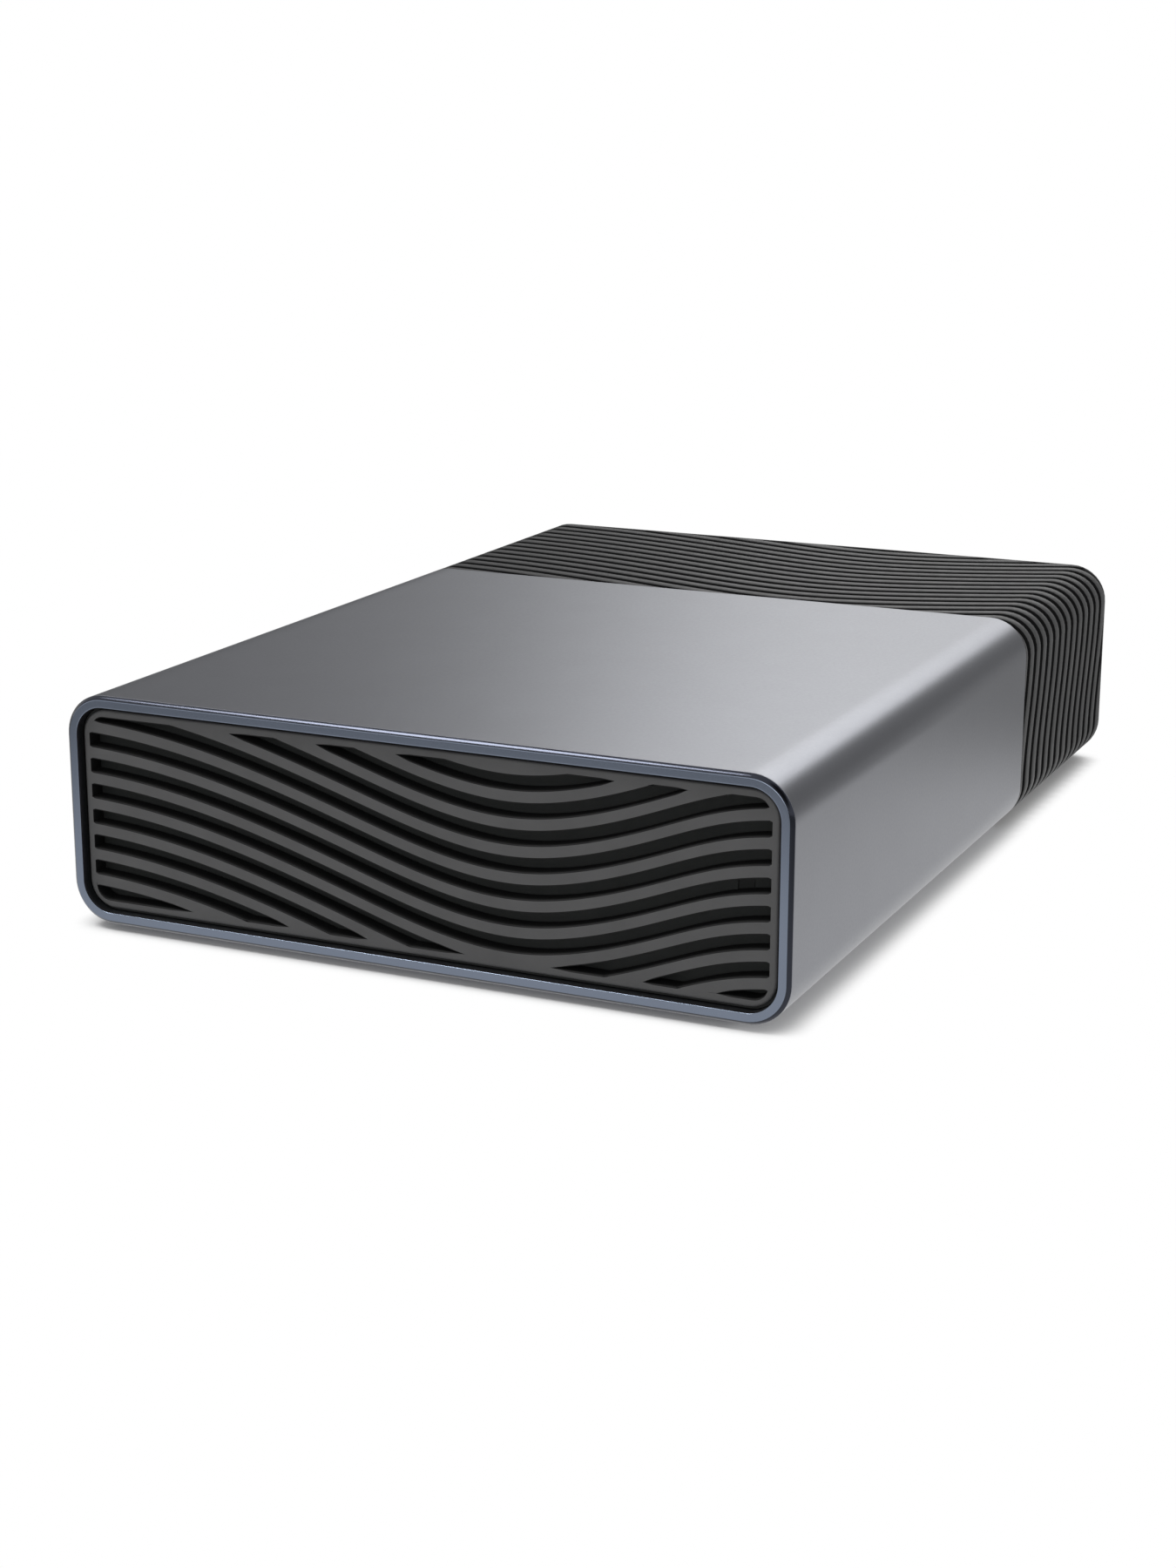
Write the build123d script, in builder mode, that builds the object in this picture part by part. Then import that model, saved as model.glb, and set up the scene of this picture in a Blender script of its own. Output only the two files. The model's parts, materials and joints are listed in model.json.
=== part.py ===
"""External desktop hard drive: an aluminium sleeve between a wavy front grille and a
ribbed rear cap, round a 3.5-inch drive on a chassis with its bridge board.

Millimetres, +Z up, front towards -Y. The origin is the middle of the footprint, on the
surface that the feet stand on.
"""
from build123d import *
from math import acos, atan2, cos, degrees, hypot, radians, sin
import os

os.makedirs("parts", exist_ok=True)

# Case
CORNER_R = 6.8            # outer corner of the case section
SLEEVE_WALL = 1.9
SLEEVE_L = 117.4          # length of the sleeve, from the front plane to the cap
FRONT_CHAMFER = 0.62
CAP_WALL = 2.4
REAR_WALL = 2.6
REAR_RIM = 1.2            # plain rim behind the ribs
REAR_FILLET = 0.9
SPIGOT_L = 6.0            # tongue of the cap inside the sleeve
SPIGOT_WALL = 1.4
FIT = 0.1                 # clearance between case parts
SNAP_L = 12.0
SNAP_W = 2.4
SNAP_H = 0.4
SNAP_POCKET = 0.5

# Waves of the grille and of the rear cap
WAVE_PITCH = 4.18
WAVE_DEPTH = 15.1         # from crest to trough
SLOT_H = 2.05
SLOT_BORDER = 1.1
SLOT_END = 1.3
SLOT_CORNER_R = 2.6
SLOT_TOP = 29.87          # centre of the first full slot at its crest, above the case bottom
GROOVE_W = 1.6
GROOVE_DEPTH = 0.8
GROOVE_START = 2.8        # first groove behind the joint, at the left crest

# Front
GRILLE_RECESS = 1.1
GRILLE_T = 2.8
GRILLE_GAP = 0.6
GRILLE_EDGE_R = 0.4
FRAME_T = 1.5             # back wall of the front frame
FRAME_LIP = 0.45
FRAME_LIP_RECESS = 2.0
FRONT_ROOM = 2.0
CLIP_L = 13.0
CLIP_T = 1.2
CLIP_H = 7.0
CLIP_FIT = 0.15
BARB_L = 3.0

# Feet and case screws
FOOT_R = 6.0
FOOT_PROUD = 1.0
FOOT_POCKET = 0.6
FOOT_X = 46.0
FOOT_Y_IN = 16.0          # from each end of the case
FOOT_FIT = 0.2
FOOT_LAND = 1.4           # plain ring round each foot of the cap
CASE_SCREW_R = 1.5
CASE_SCREW_HEAD_R = 2.75
CASE_SCREW_L = 8.0
THREAD_FIT = 0.02
RECESS_W = 0.6            # arms of the cross recess in a case screw
RECESS_L = 2.4
RECESS_DEPTH = 1.0

# Chassis, grommets and shoulder screws
CHASSIS_T = 1.4
CHASSIS_WALL = 1.6
CHASSIS_WALL_H = 22.0
CHASSIS_REAR_RIM = 3.0
DRIVE_LIFT = 1.8          # drive above the chassis floor
OVER_ROOM = 3.7           # drive top to sleeve
GROMMET_GAP = 3.6         # drive side to chassis wall
GROMMET_R = 4.5
GROMMET_NECK_R = 3.5
GROMMET_FLANGE = 0.9
SHOULDER_R = 2.4
SHOULDER_SCREW_R = 1.7
SHOULDER_HEAD_R = 4.2
SHOULDER_HEAD_T = 1.3
SHOULDER_BEVEL = 0.4
SHOULDER_CROSS = 0.8
SHOULDER_ROOM = 0.4       # screw head to cap wall
DRIVE_HOLE_R = 1.75
DRIVE_HOLE_DEPTH = 3.8
POST_R = 3.5
PAD_L = 8.0
TRAY_VENTS = (4, 5)       # across and along the floor
TRAY_VENT_PITCH = (22, 26)
TRAY_VENT_L = 16.0
TRAY_VENT_W = 5.0
SHELF_PLACES = (0.2, 0.5, 0.8)   # light pipe shelves along the drive
SHELF_L = 4.0
SHELF_T = 1.2

# Bridge board and its connectors
REAR_ROOM = 17.0
BOARD_T = 1.6
BOARD_LEFT = 52.0
BOARD_RIGHT = 55.0
BOARD_FRONT_ROOM = 1.0
BOARD_REAR_ROOM = 0.5
BOARD_CORNER_R = 1.0
BOARD_SCREW_R = 1.25
BOARD_SCREW_HEAD_R = 2.4
BOARD_SCREW_HEAD_T = 1.6
BOARD_SCREW_L = 4.0
PAN_RECESS_L = 1.2        # cross recess of a pan head, in head radii
PAN_RECESS_W = 0.3
USB_X = -16.0
USB_W = 8.94
USB_H = 3.16
USB_L = 7.35
USB_SHELL = 0.3
USB_TONGUE_W = 6.69
USB_TONGUE_T = 0.7
USB_TONGUE_L = 4.45
USB_BACK_T = 1.2
JACK_X = -34.0
JACK_W = 9.0
JACK_H = 10.8
JACK_L = 12.2
JACK_NOSE_R = 4.0
JACK_BORE_R = 3.15
JACK_BORE_L = 9.0
JACK_AXIS_H = 6.5
JACK_PIN_R = 1.0
JACK_PIN_RECESS = 1.0
JACK_CHAMFER = 1.0
PORT_RECESS = 0.4         # connector faces behind the rear plane
PORT_FIT = 0.2
LOCK_X = 48.0
LOCK_W = 7.0
LOCK_H = 3.0
VENT_X = 20.0
VENT_W = 1.8
VENT_H = 12.0
VENT_PITCH = 4.2
VENTS = 9
SATA_X = 20.7
SATA_W = 42.0
SATA_H = 8.0
SATA_L = 8.4
SATA_Z = 3.6              # tongues above the drive's base
SATA_PLUG_L = 6.0
SATA_PLUG_H = 6.8
SATA_SHELL = 0.5
SATA_CAVITY = 5.0
SATA_TONGUE_L = 4.4
SATA_TONGUE_T = 1.2
SATA_POWER_W = 19.0
SATA_DATA_W = 10.4
SATA_KEY_H = 1.4
PIPE_W = 2.4
PIPE_ROOM = 0.6           # drive side to light pipe
PIPE_RISE = 13.1          # light pipe above the drive's base
LED_W = 2.0
LED_H = 0.8
CHIP_ROOM = 2.0           # board edge to chips
BRIDGE_CHIPS = ((4, 9, 9, 0.9), (31, 5, 6, 1.5), (39, 4, 4, 0.8))   # x, width, length, height
INDUCTOR_X = (14.5, 23.0)
INDUCTOR_W = 6.0
INDUCTOR_H = 3.0
INDUCTOR_CHAMFER = 0.8
CAPACITOR_X = (-25.0, -7.5)
CAPACITOR_R = 2.5
CAPACITOR_H = 7.0
CAPACITOR_EDGE_R = 0.5
CAPACITOR_IN = 4.0        # axis from the board edge

# Drive
DISK_R = 47.5
DISK_BORE_R = 12.5
DISK_T = 1.27
DISK_PITCH = 4.2
DISKS = 3
DISK_ROOM = 0.8
BASE_WALL = 2.5
BASE_FLOOR = 3.0
BASE_END = 5.5            # solid end behind the actuator bay
PCB_ROOM = 5.5
HUB_ROOM = 0.9
HUB_FLANGE_T = 1.6
HUB_FLANGE_R = 15.6
HEAD_ROOM = 0.4
GASKET_T = 0.2
COVER_T = 1.3
COVER_RAISE = 0.6
COVER_MARGIN = 0.2
SIDE_HOLES = (28.5, 130.1)       # from the connector end
BOTTOM_HOLES = (41.28, 85.73)
SIDE_HOLE_Z = 6.35
BOTTOM_HOLE_IN = 3.18
RAIL_W = 5.8
BAY_W = 92.0              # actuator bay
BAY_START = 25.0          # bay front behind the spindle
BAY_CORNER_R = 4.0
BASE_CORNER_R = 3.0
UNDER_RECESS = 2.0
UNDER_FRONT = 4.0
PCB_START = 14.0          # board front behind the spindle
PCB_LIFT = 1.4            # board above the drive's base plane
PCB_T = 1.6
PCB_CORNER_R = 1.5
PCB_CHIPS = ((0, 34, 14, 14), (22, 36, 8, 12), (-20, 22, 8, 8), (-24, 44, 6, 5))   # x, y, width, length
PCB_CHIP_T = 1.1
PCB_SCREW_IN = 4.7
PCB_SCREW_R = 1.25
PCB_SCREW_HEAD_R = 2.2
PCB_SCREW_HEAD_T = 1.1
PCB_BOSS_R = 2.8
COVER_SCREW_R = 1.2
COVER_SCREW_HEAD_R = 1.9
COVER_SCREW_L = 6.0
COVER_SINK = 0.5
COVER_CORNER_IN = 5.3
COVER_SIDE_IN = 2.4
COVER_MID_Y = 50.0

# Spindle
SHAFT_R = 2.0
SHAFT_FIT = 0.03
BEARING_R = 4.0
STATOR_R = 9.2
STATOR_T = 3.0
STATOR_RISE = 1.3
STATOR_TEETH = 9
STATOR_CORE_T = 1.6
TOOTH_W = 1.6
WINDING_T = 0.8
BEARING_BOSS_T = 0.8
BEARING_END_T = 0.8
HUB_PROUD = 0.53          # hub above the top disk
MAGNET_T = 0.9
HUB_WALL = 1.9
HUB_TOP_T = 1.4
CLAMP_T = 1.0
CLAMP_LIP = 1.0           # raised ring outside the bore
CLAMP_SCREW_R = 1.0
CLAMP_SCREWS = 6
CLAMP_CIRCLE_R = 7.4
CLAMP_SCREW_HEAD_R = 1.8
CLAMP_SCREW_HEAD_T = 0.9

# Actuator
PIVOT_X = -11.9           # pivot from the spindle axis
PIVOT_Y = 57.1
ARM_L = 52.0              # pivot to heads
PARK_R = 50.0             # heads on the ramp, from the spindle axis
INNER_R = 20.0            # heads at the inner track
HUB_R = 8.0
ARM_PLATE_L = 34.0
ARM_PLATE_T = 1.0
ARM_ROOT_W = 14.0
ARM_TIP_W = 4.0
ARM_SLOT_L = 13.6
ARM_SLOT_W = 2.6
ARM_SLOT_AT = 20.4
BLADE_T = 0.3
BLADE_NECK = (2.0, 1.6)   # in front of the heads, and its width
BLADE_EYE = (1.0, 1.0)    # beyond the heads, and its width
BLADE_TAB_W = 0.8
HEAD_L = 1.25
HEAD_W = 1.0
HEAD_T = 0.4
PIVOT_SHAFT_R = 2.5
PIVOT_FIT = 0.05
PIVOT_RACE_R = 4.2
PIVOT_SLEEVE_R = 5.6
PIVOT_BEARING_H = 3.0
COIL_IN_R = 13.0
COIL_OUT_R = 28.0
COIL_T = 2.4
COIL_HALF_ANGLE = 15.0
COIL_WIRE = 3.4
BOBBIN_EDGE = 1.4
BOBBIN_SIDE = 2.0         # beside the coil, at its outer end
PIVOT_FOOT = 1.0          # race to the foot that carries it
MAGNET_GAP = 0.6          # coil to magnet
VCM_MAGNET_T = 2.4
VCM_PLATE_T = 3.0
VCM_R = 33.0
VCM_ROOM = 1.0            # plates to the hub of the arm
VCM_TURN = 2.0            # plates past the coil, in degrees
VCM_POST_TURN = 4.0       # posts inside the ends of the plates, in degrees
MAGNET_REACH = 1.0        # magnets past the coil
BAY_ROOM = 0.6
STOP_R = 2.0
STOP_REACH = 20.0
STOP_GAP = 0.3
STOP_H = 9.0
POST_CIRCLE_R = 31.5
VCM_POST_R = 1.2
BLADE_START = 29.0
BLADE_TAB = 2.5
RAMP_START = 1.2          # ramp fins beyond the heads
RAMP_W = 3.8
RAMP_FIN_FIT = 0.15
RAMP_TOE = 46.0           # start of the fins from the line to the spindle, in degrees
RAMP_HEEL = 5.5           # end of the fins beyond the parked heads, in degrees
RAMP_POST_TURN = 2.5      # post in front of the parked heads, in degrees
RAMP_POST_W = 3.0
LATCH_REACH = 27.0
LATCH_ANGLE = 195.0
LATCH_PIN_R = 1.2
LATCH_W = 2.4
LATCH_L = 7.0
LATCH_AIM = 80.0
FLEX_T = 0.3
FLEX_H = 9.0
FLEX_AIM = 70.0
FLEX_RISE = 2.0
FLEX_BEND_R = 12.0
FLEX_TURN = 60.0
FLEX_START = (1, -0.6)    # direction in which the cable leaves the hub
FLEX_BRACKET_W = 8.0
FLEX_BRACKET_L = 5.0
FLEX_BRACKET_R = 1.0
FILTER_T = 5.0
FILTER_L = 16.0
FILTER_H = 10.0
FILTER_CORNER_R = 1.0
BREATHER_X = -25.0
BREATHER_Y = -30.0
BREATHER_R = 5.0
BREATHER_T = 1.2
BREATHER_HOLE_R = 1.0

# Derived sizes of the drive
drive_w = 2 * (DISK_R + DISK_ROOM + BASE_WALL)
drive_l = drive_w / 2 + PIVOT_Y + VCM_R + BAY_ROOM + BASE_END
disk_gap = DISK_PITCH - DISK_T
bowl_depth = HUB_ROOM + HUB_FLANGE_T + DISKS * DISK_PITCH + HEAD_ROOM
drive_h = PCB_ROOM + BASE_FLOOR + bowl_depth + GASKET_T + COVER_T + COVER_RAISE

# Derived sizes of the case
chassis_half = drive_w / 2 + GROMMET_GAP + CHASSIS_WALL
half_w = chassis_half + GROMMET_FLANGE + SHOULDER_HEAD_T + SHOULDER_ROOM + CAP_WALL
z_bottom = FOOT_PROUD
z_chassis = z_bottom + max(CAP_WALL, SLEEVE_WALL) + FIT
z_drive = z_chassis + CHASSIS_T + DRIVE_LIFT
z_top = z_drive + drive_h + OVER_ROOM + SLEEVE_WALL
z_mid = (z_bottom + z_top) / 2
depth = GRILLE_RECESS + GRILLE_T + FRAME_T + FRONT_ROOM + drive_l + REAR_ROOM + REAR_WALL
y_front = -depth / 2
y_rear = depth / 2
y_joint = y_front + SLEEVE_L
y_grille = y_front + GRILLE_RECESS
y_frame = y_grille + GRILLE_T
y_drive = y_frame + FRAME_T + FRONT_ROOM
y_drive_end = y_drive + drive_l
y_rear_wall = y_rear - REAR_WALL
inner_half = half_w - SLEEVE_WALL
inner_r = CORNER_R - SLEEVE_WALL
foot_places = [(sx * FOOT_X, y) for sx in (-1, 1) for y in (y_front + FOOT_Y_IN, y_rear - FOOT_Y_IN)]
rear_feet = [(sx * FOOT_X, y_rear - FOOT_Y_IN) for sx in (-1, 1)]
front_feet = [(sx * FOOT_X, y_front + FOOT_Y_IN) for sx in (-1, 1)]
z_pocket = z_bottom + FOOT_POCKET

# One wave across the case: shares of the half width, and of the drop from crest to trough
WAVE_START = [(-1.02, -0.01), (-0.6, 0.168), (-0.19, 0.613), (0.28, 1.0)]
GRILLE_WAVE = WAVE_START + [(0.64, 0.654), (0.82, 0.395), (1.02, 0.29)]
CAP_WAVE = WAVE_START + [(0.64, 0.66), (1.02, 0.0)]
GRILLE_WAVE_END = (1, 0)
CAP_WAVE_END = (1, 0.46)
CAP_EDGE_DROPS = (-0.01, 0.037)   # of the cap's wave at the left and right sides


def across(y):
    """Plane across the case at y, seen from the front: local X is +X, local Y is +Z."""
    return Plane(origin=(0, y, 0), x_dir=(1, 0, 0), z_dir=(0, -1, 0))


def tube(y0, y1, half, z0, z1, radius, mode=Mode.ADD):
    """Bar along the case from y0 to y1, with a rounded rectangle as its section."""
    with BuildSketch(across(y0)) as section:
        with Locations((0, (z0 + z1) / 2)):
            RectangleRounded(2 * half, z1 - z0, radius)
    extrude(section.sketch, amount=y0 - y1, mode=mode)


def case_bar(y0, y1, inset, mode=Mode.ADD):
    """Bar with the section of the case, inset all round."""
    tube(y0, y1, half_w - inset, z_bottom + inset, z_top - inset, CORNER_R - inset, mode)


def slab(x0, x1, y0, y1, z0, z1, mode=Mode.ADD):
    """Rectangular block between two opposite corners."""
    with Locations(((x0 + x1) / 2, (y0 + y1) / 2, (z0 + z1) / 2)):
        Box(x1 - x0, y1 - y0, z1 - z0, mode=mode)


def disc(x, y, z0, z1, radius, mode=Mode.ADD):
    """Upright round bar from z0 to z1."""
    with Locations((x, y, (z0 + z1) / 2)):
        Cylinder(radius, z1 - z0, mode=mode)


def wave_bands(plane, shares, end_tangent, levels, width):
    """Wavy bands across the case, one per level of their left crest, as one sketch."""
    with BuildSketch(plane) as bands:
        for level in levels:
            with BuildLine():
                sides = []
                for shift in (-width / 2, width / 2):
                    points = [(sx * half_w, level + shift - drop * WAVE_DEPTH) for sx, drop in shares]
                    sides.append(Spline(*points, tangents=[(1, 0), end_tangent]))
                Line(sides[0] @ 0, sides[1] @ 0)
                Line(sides[0] @ 1, sides[1] @ 1)
            make_face()
    return bands.sketch


def side_bands(plane, levels, z_high, z_low, width):
    """Bands down one side of the cap, each falling by one pitch in a half wave."""
    with BuildSketch(plane) as bands:
        for level in levels:
            with BuildLine():
                sides = []
                for shift in (-width / 2, width / 2):
                    points = [(level + shift - drop * WAVE_PITCH, z)
                              for drop, z in ((0, z_high), (0.5, (z_high + z_low) / 2), (1, z_low))]
                    sides.append(Spline(*points, tangents=[(0, -1), (0, -1)]))
                Line(sides[0] @ 0, sides[1] @ 0)
                Line(sides[0] @ 1, sides[1] @ 1)
            make_face()
    return bands.sketch


def save(piece, name):
    """Label a finished piece and write its file."""
    piece.part.label = name
    export_step(piece.part, f"parts/{name}.step")


# Sleeve: extruded tube with a bright chamfer round its front edge
y_snap = y_joint - SPIGOT_L / 2
with BuildPart() as sleeve:
    case_bar(y_front, y_joint, 0)
    case_bar(y_front, y_joint, SLEEVE_WALL, Mode.SUBTRACT)
    chamfer(sleeve.faces().sort_by(Axis.Y)[0].outer_wire().edges(), FRONT_CHAMFER)
    with BuildSketch(Plane.XY.offset(z_bottom)):
        with Locations(*front_feet):
            Circle(FOOT_R + FOOT_FIT)
    extrude(amount=FOOT_POCKET, mode=Mode.SUBTRACT)
    slab(-inner_half - SNAP_POCKET, inner_half + SNAP_POCKET, y_snap - SNAP_W / 2 - FIT,
         y_snap + SNAP_W / 2 + FIT, z_mid, z_mid + SNAP_L + 2 * FIT, Mode.SUBTRACT)
save(sleeve, "sleeve")

# Front grille: rounded plate with wavy slots, framed by a narrow plain border
grille_half = inner_half - GRILLE_GAP
z_grille = z_bottom + SLEEVE_WALL + GRILLE_GAP
slot_levels = [z_bottom + SLOT_TOP + WAVE_PITCH * k for k in range(-7, 5)]
with BuildPart() as front_grille:
    tube(y_grille, y_frame, grille_half, z_grille, z_bottom + z_top - z_grille, inner_r - GRILLE_GAP)
    fillet(front_grille.faces().sort_by(Axis.Y)[0].outer_wire().edges(), GRILLE_EDGE_R)
    with BuildSketch(across(y_grille)) as slots:
        add(wave_bands(Plane.XY, GRILLE_WAVE, GRILLE_WAVE_END, slot_levels, SLOT_H))
        with Locations((0, z_mid)):
            RectangleRounded(2 * (grille_half - SLOT_BORDER), z_top + z_bottom - 2 * (z_grille + SLOT_END),
                             SLOT_CORNER_R, mode=Mode.INTERSECT)
    extrude(slots.sketch, amount=-GRILLE_T, mode=Mode.SUBTRACT)
save(front_grille, "front_grille")

# Rear cap: ribs stand on an inset core; the grooves between them follow the wave over the
# top, round both sides and along the bottom
z_side_high = z_top - CORNER_R
z_side_low = z_bottom + CORNER_R
y_rim = y_rear - REAR_RIM
spigot_inset = SLEEVE_WALL + FIT
groove_first = y_joint + GROOVE_START
groove_count = int((y_rear + WAVE_DEPTH + WAVE_PITCH - groove_first) / WAVE_PITCH) + 1
groove_levels = [groove_first + WAVE_PITCH * k for k in range(-1, groove_count)]
left_levels = [level - CAP_EDGE_DROPS[0] * WAVE_DEPTH for level in groove_levels]
right_levels = [level - CAP_EDGE_DROPS[1] * WAVE_DEPTH for level in groove_levels]
z_screws = z_drive + SIDE_HOLE_Z
usb_z = z_drive + SATA_Z + SATA_H / 2 + BOARD_T + USB_H / 2
jack_z = z_drive + SATA_Z + SATA_H / 2 + BOARD_T + JACK_AXIS_H
with BuildPart() as rear_cap:
    case_bar(y_joint, y_rear, 0)
    extrude(wave_bands(Plane.XY.offset(z_side_high), CAP_WAVE, CAP_WAVE_END, groove_levels, GROOVE_W),
            amount=CORNER_R, mode=Mode.SUBTRACT)
    extrude(wave_bands(Plane.XY.offset(z_side_low), CAP_WAVE, CAP_WAVE_END,
                       [level - WAVE_PITCH for level in groove_levels], GROOVE_W),
            amount=-CORNER_R, mode=Mode.SUBTRACT)
    extrude(side_bands(Plane.YZ, right_levels, z_side_high, z_side_low, GROOVE_W),
            amount=half_w, mode=Mode.SUBTRACT)
    extrude(side_bands(Plane.YZ, left_levels, z_side_high, z_side_low, GROOVE_W),
            amount=-half_w, mode=Mode.SUBTRACT)
    case_bar(y_joint, y_rim, GROOVE_DEPTH)
    case_bar(y_rim, y_rear, 0)
    with BuildSketch(Plane.XY.offset(z_bottom)):
        with Locations(*rear_feet):
            Circle(FOOT_R + FOOT_LAND)
    extrude(amount=CAP_WALL)
    fillet(rear_cap.faces().sort_by(Axis.Y)[-1].outer_wire().edges(), REAR_FILLET)
    case_bar(y_joint - SPIGOT_L, y_joint, spigot_inset)
    case_bar(y_joint, y_rear_wall, CAP_WALL, Mode.SUBTRACT)
    case_bar(y_joint - SPIGOT_L, y_joint, spigot_inset + SPIGOT_WALL, Mode.SUBTRACT)
    slab(-half_w, half_w, y_joint - SPIGOT_L, y_joint, 0, z_screws + SHOULDER_HEAD_R + SHOULDER_ROOM,
         Mode.SUBTRACT)
    for side in (-1, 1):
        with BuildSketch(Plane.XY.offset(z_mid + FIT)):
            with BuildLine():
                Polyline((side * (inner_half - FIT - SPIGOT_WALL / 2), y_snap - SNAP_W / 2),
                         (side * (inner_half - FIT), y_snap - SNAP_W / 2),
                         (side * (inner_half - FIT + SNAP_H), y_snap + SNAP_W / 2),
                         (side * (inner_half - FIT - SPIGOT_WALL / 2), y_snap + SNAP_W / 2), close=True)
            make_face()
        extrude(amount=SNAP_L)
    with BuildSketch(across(y_rear)):
        with Locations((USB_X, usb_z)):
            SlotOverall(USB_W + 2 * PORT_FIT, USB_H + 2 * PORT_FIT)
        with Locations((JACK_X, jack_z)):
            Circle(JACK_NOSE_R + PORT_FIT)
        with Locations((LOCK_X, z_mid)):
            SlotOverall(LOCK_W, LOCK_H, rotation=90)
        with Locations((VENT_X, jack_z)):
            with GridLocations(VENT_PITCH, 0, VENTS, 1):
                SlotOverall(VENT_H, VENT_W, rotation=90)
    extrude(amount=REAR_WALL, mode=Mode.SUBTRACT)
    for x, y in rear_feet:
        disc(x, y, z_bottom, z_pocket, FOOT_R + FOOT_FIT, Mode.SUBTRACT)
        with Locations(Plane((x, y, z_pocket), x_dir=(1, 0, 0), z_dir=(0, 0, -1))):
            CounterSinkHole(CASE_SCREW_R + FIT, CASE_SCREW_HEAD_R + FIT, CAP_WALL, 90)
save(rear_cap, "rear_cap")

# Front frame: black liner that closes the back of the grille and the gap round it, with clips
# to the chassis
y_frame_back = y_frame + FRAME_T
z_clip = z_drive + PIPE_RISE - CLIP_H
pipe_x = drive_w / 2 + PIPE_ROOM + PIPE_W / 2
pipe_z = z_drive + PIPE_RISE + PIPE_W / 2
with BuildPart() as front_frame:
    case_bar(y_front + FRAME_LIP_RECESS, y_frame_back, spigot_inset)
    case_bar(y_front + FRAME_LIP_RECESS, y_frame, spigot_inset + FRAME_LIP, Mode.SUBTRACT)
    with BuildSketch(across(y_frame)):
        with Locations((pipe_x, pipe_z)):
            Rectangle(PIPE_W + 2 * FIT, PIPE_W + 2 * FIT)
    extrude(amount=-FRAME_T, mode=Mode.SUBTRACT)
    for side in (-1, 1):
        x_clip = side * (chassis_half + CLIP_FIT)
        with BuildSketch(Plane.XY.offset(z_clip)):
            with BuildLine():
                Polyline((x_clip, y_frame_back), (x_clip + side * CLIP_T, y_frame_back),
                         (x_clip + side * CLIP_T, y_frame_back + CLIP_L), (x_clip, y_frame_back + CLIP_L),
                         (x_clip - side * CHASSIS_WALL, y_frame_back + CLIP_L - BARB_L),
                         (x_clip, y_frame_back + CLIP_L - BARB_L), close=True)
            make_face()
        extrude(amount=CLIP_H)
save(front_frame, "front_frame")

# Chassis: U-shaped tray between the front frame and the cap, carrying the drive
y_chassis = y_frame_back + FIT
y_chassis_end = y_rear_wall - BOARD_REAR_ROOM
y_wall_end = y_drive_end - FIT
z_wall = z_chassis + CHASSIS_WALL_H
z_floor = z_chassis + CHASSIS_T
z_board = z_drive + SATA_Z + SATA_H / 2
side_hole_y = [y_drive_end - d for d in SIDE_HOLES]
with BuildPart() as chassis:
    tube(y_chassis, y_chassis_end, chassis_half, z_chassis, z_top, inner_r)
    tube(y_chassis, y_chassis_end, chassis_half - CHASSIS_WALL, z_floor, z_top + CORNER_R,
         inner_r - CHASSIS_WALL, Mode.SUBTRACT)
    slab(-half_w, half_w, y_chassis, y_chassis_end, z_wall, z_top + CORNER_R, Mode.SUBTRACT)
    slab(-half_w, half_w, y_wall_end, y_chassis_end, z_floor + CHASSIS_REAR_RIM, z_top, Mode.SUBTRACT)
    with BuildSketch(Plane.XY.offset(z_floor)):
        with Locations((0, (y_drive + y_drive_end) / 2)):
            with GridLocations(*TRAY_VENT_PITCH, *TRAY_VENTS):
                SlotOverall(TRAY_VENT_L, TRAY_VENT_W)
    extrude(amount=-CHASSIS_T, mode=Mode.SUBTRACT)
    with BuildSketch(Plane.YZ.offset(-half_w)):
        with Locations(*[(y, z_screws) for y in side_hole_y]):
            Circle(GROMMET_NECK_R + FIT / 2)
        with Locations((y_frame_back + CLIP_L - BARB_L / 2, z_clip + CLIP_H / 2)):
            Rectangle(BARB_L + 2 * CLIP_FIT, CLIP_H + 2 * CLIP_FIT)
    extrude(amount=2 * half_w, mode=Mode.SUBTRACT)
    for x, y in rear_feet:
        disc(x, y, z_floor, z_board, POST_R)
        disc(x, y, z_chassis, z_pocket + CASE_SCREW_L + FIT, CASE_SCREW_R + THREAD_FIT, Mode.SUBTRACT)
        disc(x, y, z_board - BOARD_SCREW_L - FIT, z_board, BOARD_SCREW_R + THREAD_FIT, Mode.SUBTRACT)
    for y in (y_chassis + PAD_L, y_joint - SPIGOT_L - PAD_L):
        for side in (-1, 1):
            slab(side * FOOT_X - PAD_L / 2, side * FOOT_X + PAD_L / 2, y - PAD_L / 2, y + PAD_L / 2,
                 z_bottom + SLEEVE_WALL + FIT, z_chassis)
    for y in (y_drive + drive_l * share for share in SHELF_PLACES):
        slab(drive_w / 2 + FIT, chassis_half - CHASSIS_WALL, y - SHELF_L / 2, y + SHELF_L / 2,
             pipe_z - PIPE_W / 2 - FIT - SHELF_T, pipe_z - PIPE_W / 2 - FIT)
save(chassis, "chassis")

# Rubber feet: discs with a rounded rim, pressed into their pockets
with BuildPart() as rubber_feet:
    for x, y in foot_places:
        disc(x, y, 0, z_pocket, FOOT_R)
    fillet(rubber_feet.faces().group_by(Axis.Z)[0].edges(), FOOT_PROUD / 2)
save(rubber_feet, "rubber_feet")

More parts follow.
